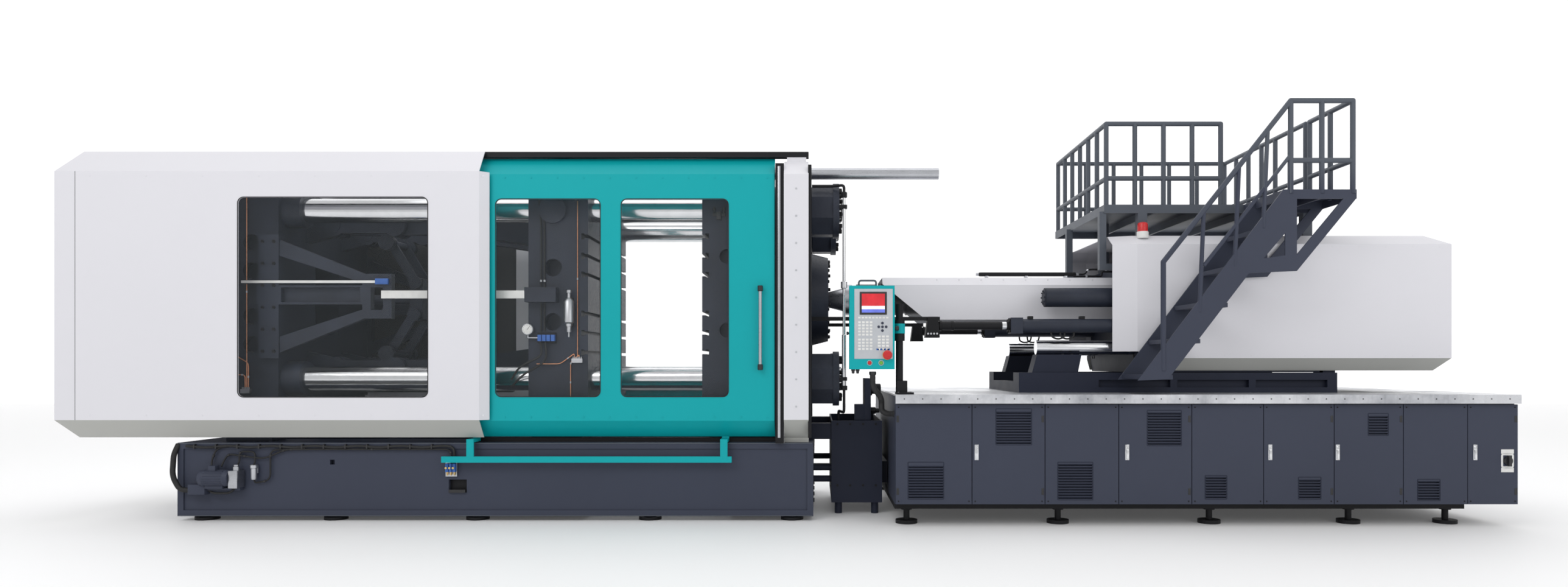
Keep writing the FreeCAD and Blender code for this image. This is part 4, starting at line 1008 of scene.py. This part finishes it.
def make_door_handle(node, x, z, face):
    """Swing handle in its bright dish, with the key slot of its lock."""
    bm = bmesh.new()
    block(bm, x - 16.0, x + 16.0, face - 5.0, face + 0.5, z - 62.0, z + 62.0, 3.0)
    block(bm, x - 10.0, x + 10.0, face - 15.0, face - 4.0, z - 55.0, z + 22.0, 4.0)
    rod(bm, (x, face - 3.0, z + 42.0), (x, face - 14.0, z + 42.0), 10.0, 24, 1.5)
    piece(node + "_handle", bm, "chrome", node)
    bm = bmesh.new()
    block(bm, x - 1.2, x + 1.2, face - 14.6, face - 13.8, z + 37.0, z + 47.0, 0.2)
    piece(node + "_keyhole", bm, "plastic", node)


def make_door_hinges(node, edge_x, way, face):
    """Two flush hinges beside the door's edge; way is 1 where the leaf lies to the right of it."""
    near, far = edge_x + way * 8.0, edge_x + way * 26.0
    bm = bmesh.new()
    for z in (284.0, 868.0):
        rod(bm, (near, face - 0.6, z - 28.0), (near, face - 0.6, z + 28.0), 2.2, 16, 0.5)
        block(bm, min(near, far), max(near, far), face - 1.5, face + 0.5, z - 26.0, z + 26.0, 0.4)
    piece(node + "_hinges", bm, "plastic", node)


def make_louvre_field(node, x0, x1, z0, z1):
    """Slanted fins in a louvre opening, with its frame in front and a plate behind it."""
    face, back = low(node).y, high(node).y
    rows = [dict(kind="slat", count=int((z1 - z0) / LOUVRE_PITCH), step=(0, 0, LOUVRE_PITCH),
                 start=((x0 + x1) / 2, face - 2.0, z0 + 12.0), size=(x1 - x0 + 4.0, 5.0, 5.0),
                 turn=(25.0, 0.0, 0.0))]
    row_piece(node + "_fins", rows, "navy", node)
    bm = bmesh.new()
    window_ring(bm, x0 - 3.0, x1 + 3.0, z0 - 6.0, z1 + 2.0, 3.0, 5.0, face - 2.0, face + 0.5)
    block(bm, x0 - 8.0, x1 + 8.0, back - 0.5, back + 1.5, z0 - 8.0, z1 + 8.0, 0.5)
    piece(node + "_louvre_frame", bm, "navy", node)


def corner_screws(x0, x1, y, levels):
    """Rows of two screws near a panel's left and right edge."""
    return [screws(2, (x0 + SCREW_INSET, y, z), (x1 - x0 - 2 * SCREW_INSET, 0, 0), 6.0, 3.0) for z in levels]


def make_cabinet_fittings():
    """Handles, hinges, louvres and screws of the nine doors, and the screws of the rear panels."""
    rear_rows = []
    for number in range(1, 10):
        node = "cabinet_door_%d" % number
        a, b = low(node), high(node)
        if number in HANDLES:
            x = HANDLES[number]
            make_door_handle(node, x, 600.0, a.y)
            if x - a.x < b.x - x:
                make_door_hinges(node, b.x, -1.0, a.y)
            else:
                make_door_hinges(node, a.x, 1.0, a.y)
        elif number == 1:
            make_door_hinges(node, a.x, 1.0, a.y)
        row_piece(node + "_screws", corner_screws(a.x, b.x, a.y - 0.5, SCREW_LEVELS), "black", node)
        rear_rows += corner_screws(a.x, b.x, high("rear_panels").y + 0.5, (206.0, 580.0, 962.0))
    for number, field in LOUVRES.items():
        make_louvre_field("cabinet_door_%d" % number, *field)
    row_piece("rear_panel_screws", rear_rows, "black")


def make_switch_plate():
    """Pale plate round the main switch."""
    a, b = low("switch_grip"), high("switch_grip")
    x, z = (a.x + b.x) / 2, (a.z + b.z) / 2
    gap = 2.0
    half_x, half_z = (b.x - a.x) / 2 + gap, (b.z - a.z) / 2 + gap
    face = low("cabinet_door_9").y
    bm = bmesh.new()
    window_ring(bm, x - half_x, x + half_x, z - half_z, z + half_z, 4.0, 15.0, face - 2.5, face + 0.5)
    for z0, z1 in ((z - 92.0, z - half_z - 12.0), (z + half_z + 12.0, z + 92.0)):
        block(bm, x - half_x - 15.0, x + half_x + 15.0, face - 2.5, face + 0.5, z0, z1, 1.0)
    piece("switch_plate", bm, "label", "cabinet_door_9")


def make_deck_fittings():
    """Rivets along the deck's edge, seams between its plates and the rails' hold-down bolts."""
    a, b = low("deck_plate"), high("deck_plate")
    rows = [screws(34, (a.x + 70.0, side * (abs(a.y) + 0.5), b.z - 34.0), (147.0, 0, 0), 5.0, 3.0)
            for side in (FRONT, BACK)]
    row_piece("deck_rivets", rows, "plastic")
    bm = bmesh.new()
    for x in (2135.0, 3316.0, 4463.0, 5536.0):
        for side in (FRONT, BACK):
            block(bm, x - 1.5, x + 1.5, side * 730.0, side * 1345.0, b.z - 1.0, b.z + 0.8, 0.3)
    piece("deck_seams", bm, "plastic")
    start = low("carriage_rails").x + 180.0
    rows = [bolts(9, (start, y, 1100.0), (300.0, 0, 0), 15.0, 16.0) for y in (-700.0, -500.0, 500.0, 700.0)]
    row_piece("rail_bolts", rows, "black")


# ---------------------------------------------------------------- injection unit
def make_guard_fittings():
    """Accumulator tube, pipes and screws of the barrel guard, and the terminals of the heater bands."""
    body = "carriage"
    y, z = -250.0, 2131.0
    bm = bmesh.new()
    lathe(bm, (1786.0, y, z), (1, 0, 0), [(0, 10), (8, 18), (24, 19), (870, 19), (886, 18), (895, 10)], 28)
    piece("guard_accumulator", bm, "black", body)
    bm = bmesh.new()
    for x in (1860.0, 2220.0, 2580.0):
        block(bm, x - 14.0, x + 14.0, y - 26.0, y + 26.0, 2093.0, 2116.0, 2.0)
    for x in (1776.0, 2690.0):
        lathe(bm, (x - 12.0, y, z), (1, 0, 0), [(0, 14), (24, 14)], 6)
    piece("accumulator_feet", bm, "steel", body)
    end = low("carriage").x + 2.0
    runs = [[(2680.0, y, z), (2760.0, y, z), (2790.0, y, 2175.0), (end, y, 2175.0)],
            [(2640.0, -300.0, 2108.0), (2900.0, -300.0, 2108.0), (2900.0, -300.0, 2150.0),
             (end, -300.0, 2150.0)],
            [(1500.0, -120.0, 2104.0), (end, -120.0, 2104.0)],
            [(1500.0, 120.0, 2104.0), (end, 120.0, 2104.0)]]
    tubing("guard_pipes", runs, 8.0, "black", body, "zinc", 30.0)
    rows = [screws(9, (1390.0, side * 380.5, level), (200.0, 0, 0), 7.0, 4.0)
            for side in (FRONT, BACK) for level in (1735.0, 2068.0)]
    row_piece("guard_screws", rows, "white", body)
    bm = bmesh.new()
    for number in range(9):
        x = 750.0 + 230.0 * number
        block(bm, x, x + 50.0, -175.0, -140.0, 1885.0, 1945.0, 3.0)
    piece("heater_terminals", bm, "steel", body)


def make_ram_ends():
    """End rings of the injection cylinders, with eight screws each."""
    bm = bmesh.new()
    x = 2306.0
    for y in (-RAM_Y, RAM_Y):
        lathe(bm, (x, y, RAM_Z), (1, 0, 0), [(0, 30), (2, 66), (8, 76), (12, 76)], 36)
        for angle in range(0, 360, 45):
            c, s = math.cos(math.radians(angle)), math.sin(math.radians(angle))
            lathe(bm, (x, y + 56.0 * c, RAM_Z + 56.0 * s), (-1, 0, 0), [(0, 7), (8, 7)], 6)
    piece("injection_cylinder_ends", bm, "casting", "carriage")


def make_traction_fittings():
    """Ports, glands and short hoses of the traction cylinders, and the sleeves of their rods."""
    head = low("carriage_cylinders").x
    pair = (-ROD_Y, ROD_Y)
    bm = bmesh.new()
    for y in pair:
        for x in (2150.0, 2600.0):
            block(bm, x, x + 44.0, y - 26.0, y + 26.0, 1700.0, 1728.0, 3.0)
        for z in (-48.0, 48.0):
            for side in (-48.0, 48.0):
                lathe(bm, (head + 1.0, y + side, ROD_Z + z), (-1, 0, 0), [(0, 12), (14, 12)], 6)
        lathe(bm, (head, y, ROD_Z), (-1, 0, 0), [(0, 46), (16, 46), (20, 38), (30, 38)], 32)
    piece("traction_ports", bm, "black", "carriage")
    bm = bmesh.new()
    dip = ((0.0, 10.0, 1590.0), (12.0, 20.0, 1548.0), (60.0, 24.0, 1530.0), (110.0, 20.0, 1548.0),
           (122.0, 10.0, 1590.0))
    for side in (FRONT, BACK):
        for start in (2350.0, 2430.0):
            route = smooth_route([(start + dx, side * (ROD_Y + out), z) for dx, out, z in dip], 8)
            tube(bm, route, 8.0, 12)
    piece("cylinder_hoses", bm, "rubber", "carriage", 60.0)
    bm = bmesh.new()
    for y in pair:
        lathe(bm, (1379.0, y, ROD_Z), (1, 0, 0),
              [(0, 46), (18, 46), (20, 38), (104, 38), (106, 42), (124, 42), (126, 36)], 32)
    piece("traction_rod_sleeves", bm, "black")
    bm = bmesh.new()
    for y in pair:
        lathe(bm, (head - 67.0, y, ROD_Z), (1, 0, 0), [(0, 35.4), (66, 35.4)], 40)
    piece("traction_rod_chrome", bm, "chrome")
    rows = [bolts(4, (1275.0, side * (ROD_Y + 52.0), 1575.0), (26.0, 0, 0), 9.0, 7.0, FACE_FRONT)
            for side in (FRONT, BACK)]
    row_piece("traction_lug_bolts", rows, "zinc")


def make_pedestal_bolts():
    """Bolts across the feet of the rails' pedestals."""
    rows = [bolts(2, (x, y - 70.0, 1396.0), (0, 140.0, 0), 12.0, 12.0)
            for y in (-600.0, 600.0) for x in (2450.0, 2530.0)]
    row_piece("pedestal_bolts", rows, "black")


def make_carriage_fittings():
    """Flange bolts on the carriage plates, and the indicator light on the cover."""
    rows = [bolts(2, (low("carriage").x - 1.0, y - 30.0, z), (0, 60.0, 0), 13.0, 10.0, (0.0, -90.0, 0.0))
            for y in (-640.0, 640.0) for z in (1380.0, 1520.0, 2020.0, 2160.0)]
    row_piece("carriage_plate_bolts", rows, "black", "carriage")
    x, y, top = 3140.0, -690.0, 2403.0
    bm = bmesh.new()
    lathe(bm, (x, y, top), (0, 0, 1), [(0, 48), (6, 50), (54, 50), (58, 46)], 36)
    piece("indicator_base", bm, "label", "carriage")
    bm = bmesh.new()
    lathe(bm, (x, y, top + 57.0), (0, 0, 1), [(0, 44), (60, 44), (76, 38), (82, 20)], 36)
    piece("indicator_lens", bm, "red", "carriage")


def make_cover_screws():
    """Screws of the injection cover and the air slots in its tail."""
    a, b = low("injection_cover"), high("injection_cover")
    rows = [screws(12, (3120.0, side * (abs(a.y) + 0.5), z), (230.0, 0, 0), 6.0, 2.5)
            for side in (FRONT, BACK) for z in (a.z + 130.0, b.z - 112.0)]
    row_piece("injection_cover_screws", rows, "white", "carriage")
    rows = [dict(kind="slat", count=14, start=(b.x - 0.5, 0.0, 1600.0), step=(0, 0, 34.0),
                 size=(6.0, 760.0, 12.0))]
    row_piece("injection_cover_vent", rows, "plastic", "carriage")


# ---------------------------------------------------------------- clamp bed, operator side
def make_grease_pump():
    """Junction box, ribbed motor, pump and filter on the clamp bed's side."""
    wall = BED_WALL
    bm = bmesh.new()
    block(bm, -4898.0, -4756.0, wall - 82.0, wall + 0.5, 228.0, 314.0, 8.0)
    block(bm, -4860.0, -4476.0, wall - 60.0, wall + 0.5, 262.0, 284.0, 3.0)
    piece("junction_box", bm, "slate")
    y, z = wall - 66.0, 366.0
    bm = bmesh.new()
    lathe(bm, (-4800.0, y, z), (1, 0, 0),
          [(0, 30), (6, 62), (40, 70), (48, 66), (206, 66), (214, 70), (248, 62), (252, 20)], 36)
    block(bm, -4720.0, -4660.0, wall - 96.0, wall - 34.0, 425.0, 470.0, 6.0)
    block(bm, -4752.0, -4604.0, wall - 90.0, wall - 30.0, 280.0, 312.0, 4.0)
    piece("grease_motor", bm, "slate")
    bm = bmesh.new()
    for step in range(18):
        angle = math.radians(20.0 * step)
        fin_y, fin_z = y + 67.0 * math.cos(angle), z + 67.0 * math.sin(angle)
        rod(bm, (-4748.0, fin_y, fin_z), (-4598.0, fin_y, fin_z), 3.0, 8, 0.5)
    piece("motor_fins", bm, "slate")
    bm = bmesh.new()
    block(bm, -4546.0, -4470.0, wall - 110.0, wall + 0.5, 284.0, 430.0, 6.0)
    lathe(bm, (-4508.0, wall - 56.0, 430.0), (0, 0, 1), [(0, 26), (30, 26), (34, 20), (46, 20)], 24)
    piece("grease_pump", bm, "steel")
    bm = bmesh.new()
    lathe(bm, (-4377.0, wall - 30.0, 350.0), (0, 0, 1),
          [(0, 20), (8, 24), (90, 24), (96, 29), (120, 29), (124, 24)], 28)
    block(bm, -4400.0, -4354.0, wall - 10.0, wall + 0.5, 400.0, 470.0, 2.0)
    piece("grease_filter", bm, "zinc")


def make_grease_lines():
    """Black grease hoses along the clamp bed's side, and the unit's two cables."""
    wall = BED_WALL
    near, out = wall - 12.0, wall - 40.0
    runs = [[(-4508.0, out, 470.0), (-4508.0, near, 500.0), (-4508.0, near, 580.0), (-4377.0, near, 580.0),
             (-4377.0, near, 500.0), (-4377.0, wall - 30.0, 474.0)],
            [(-4377.0, wall - 30.0, 352.0), (-4377.0, near, 320.0), (-4250.0, near, 340.0),
             (-4250.0, near, 596.0), (-3900.0, near, 600.0), (-2900.0, near, 600.0), (-2740.0, near, 600.0),
             (-2740.0, near, 480.0)],
            [(-4640.0, out, 460.0), (-4640.0, near, 500.0), (-4600.0, near, 560.0), (-4300.0, near, 520.0),
             (-4120.0, near, 600.0), (-3960.0, near, 606.0)],
            [(-4720.0, out, 440.0), (-4740.0, near, 500.0), (-4700.0, near, 610.0), (-4560.0, near, 626.0)]]
    tubing("grease_lines", runs, 7.0, "rubber", "root", "plastic", 60.0)
    supply = [(-5030.0, wall + 10.0, 640.0), (-5044.0, wall - 30.0, 560.0), (-5044.0, wall - 50.0, 380.0),
              (-4980.0, wall - 52.0, 268.0), (-4890.0, wall - 46.0, 262.0)]
    pump_lead = [(-4760.0, out, 272.0), (-4700.0, wall - 60.0, 240.0), (-4560.0, wall - 60.0, 240.0),
                 (-4508.0, wall - 56.0, 290.0)]
    bm = bmesh.new()
    tube(bm, bent_route(supply, 70.0, 8), 20.0, 16, (9.0, 2.0))
    tube(bm, bent_route(pump_lead, 40.0, 6), 9.0, 12)
    piece("unit_cables", bm, "rubber", "root", 60.0)


def make_bed_harness():
    """Cable bundle with its clips along the top of the clamp bed."""
    y = BED_WALL - 16.0
    pitch = 180.0
    points = [(-4950.0, y, 628.0)]
    points += [(-4780.0 + pitch * number, y, 628.0 if number % 2 else 616.0) for number in range(12)]
    points += [(-2720.0, y, 600.0), (-2715.0, y, 470.0)]
    bm = bmesh.new()
    tube(bm, smooth_route(points, 5), 11.0, 12)
    piece("cable_bundle", bm, "rubber", "root", 60.0)
    rows = [dict(kind="slat", count=12, start=(-4880.0, BED_WALL - 12.0, 624.0), step=(pitch, 0, 0),
                 size=(12.0, 32.0, 36.0))]
    row_piece("bundle_clips", rows, "plastic")


def make_valve_bank():
    """Three small air valves and their plate at the end of the bundle."""
    wall = BED_WALL
    bm = bmesh.new()
    block(bm, -2790.0, -2694.0, wall - 8.0, wall + 0.5, 372.0, 492.0, 2.0)
    piece("valve_plate", bm, "zinc")
    valves, fittings = bmesh.new(), bmesh.new()
    for i in range(3):
        x = -2780.0 + 30.0 * i
        block(valves, x, x + 24.0, wall - 46.0, wall - 7.0, 412.0, 484.0, 4.0)
        x += 12.0
        lathe(fittings, (x, wall - 26.0, 414.0), (0, 0, -1), [(0, 9), (16, 9), (18, 7), (30, 7)], 6)
        lathe(fittings, (x, wall - 44.0, 448.0), (0, -1, 0), [(0, 6), (10, 6), (12, 9), (20, 9)], 16)
    piece("air_valve_bank", valves, "blue")
    piece("air_valve_fittings", fittings, "brass")


def make_hatch_fittings():
    """Drip tray in the clamp bed's side hatch, and a black plate behind it that is painted shade for the
    inside of the bed.
    """
    bm = bmesh.new()
    block(bm, -2764.0, -2626.0, -1020.0, -900.0, 236.0, 242.0, 1.0)
    block(bm, -2764.0, -2626.0, -1020.0, -1014.0, 240.0, 262.0, 1.0)
    piece("drip_tray", bm, "plastic")
    bm = bmesh.new()
    # painted shade: black plate that darkens the view into the hatch
    block(bm, -2795.0, -2595.0, -960.5, -952.0, 210.0, 370.0, 1.0)
    piece("hatch_shade_plate", bm, "black")


def make_bed_trim():
    """End bolts of the clamp bed, and thin lips along its flanges painted in a lighter grey as a highlight.
    """
    rows = [bolts(5, (281.0, -820.0, z), (0, 410.0, 0), 18.0, 16.0, FACE_SIDE) for z in (150.0, 560.0)]
    row_piece("bed_end_bolts", rows, "black")
    # flange lips, their lighter grey a painted highlight where light catches the edges
    bm = bmesh.new()
    for side in (FRONT, BACK):
        for z0, z1 in ((645.0, 652.0), (42.0, 48.0)):
            block(bm, -5025.0, 272.0, side * 1012.0, side * 1014.5, z0, z1, 0.8)
    piece("bed_flange_lips_lit", bm, "grey")


# ---------------------------------------------------------------- floor and lights
def plain_sheet(name, corners, colour, glow):
    """Matt sheet of the set, slightly luminous."""
    mesh = bpy.data.meshes.new(name)
    mesh.from_pydata(corners, [], [(0, 1, 2, 3)])
    material, _, shader = start_material(name + "_white")
    shader.inputs["Base Color"].default_value = colour
    shader.inputs["Roughness"].default_value = 0.6
    shader.inputs["Emission Color"].default_value = (1.0, 1.0, 1.0, 1.0)
    shader.inputs["Emission Strength"].default_value = glow
    mesh.materials.append(material)
    made = bpy.data.objects.new(name, mesh)
    bpy.context.scene.collection.objects.link(made)


def make_stage():
    """Pale floor and backdrop that run out of view."""
    reach, back = 60.0, 24.0
    floor = [(-reach, -reach, 0), (reach, -reach, 0), (reach, back, 0), (-reach, back, 0)]
    wall = [(-reach, back, 0), (-reach, back, reach), (reach, back, reach), (reach, back, 0)]
    plain_sheet("floor", floor, (0.90, 0.90, 0.905, 1.0), 0.06)
    plain_sheet("backdrop", wall, (0.6, 0.6, 0.6, 1.0), 0.75)


def soft_light(name, place, target, size, power):
    """White rectangular light that looks at a target."""
    data = bpy.data.lights.new(name, "AREA")
    data.shape = "RECTANGLE"
    data.size, data.size_y = size
    data.energy = power
    made = bpy.data.objects.new(name, data)
    made.location = place
    made.rotation_euler = (Vector(target) - Vector(place)).to_track_quat("-Z", "Y").to_euler()
    bpy.context.scene.collection.objects.link(made)


def make_lights():
    """White surroundings and four large soft lights."""
    world = bpy.data.worlds.new("studio")
    bpy.context.scene.world = world
    world.use_nodes = True
    world.node_tree.nodes["Background"].inputs["Color"].default_value = (1.0, 1.0, 1.0, 1.0)
    world.node_tree.nodes["Background"].inputs["Strength"].default_value = 0.72
    bpy.context.scene.view_settings.view_transform = "Standard"
    soft_light("key_light", (-5.5, -10.0, 8.5), (-0.5, 0.0, 1.2), (7.0, 4.0), 300.0)
    soft_light("fill_light", (8.0, -9.0, 5.0), (1.5, 0.0, 1.0), (6.0, 4.0), 120.0)
    soft_light("top_light", (0.0, 0.0, 9.5), (0.0, 0.0, 0.0), (12.0, 5.0), 170.0)
    soft_light("back_light", (3.0, 9.0, 7.0), (0.0, 0.0, 1.0), (9.0, 4.0), 110.0)


set_camera()
coat_frame()
make_cover_windows()
make_cover_trim()
make_door_fittings(FRONT, "front_door")
make_door_fittings(BACK, "back_door")
make_jamb()
for outward, tag in SIDES:
    make_platen_lubrication(outward, tag)
make_air_unit()
make_mould_clamp()
make_stroke_scale()
make_nut_bolts()
make_oil_riser()
make_platen_back()
make_pipe_bay()
make_panel_fittings()
make_panel_conduit()
make_cabinet_fittings()
make_switch_plate()
make_deck_fittings()
make_guard_fittings()
make_ram_ends()
make_traction_fittings()
make_pedestal_bolts()
make_carriage_fittings()
make_cover_screws()
make_grease_pump()
make_grease_lines()
make_bed_harness()
make_valve_bank()
make_hatch_fittings()
make_bed_trim()
make_stage()
make_lights()
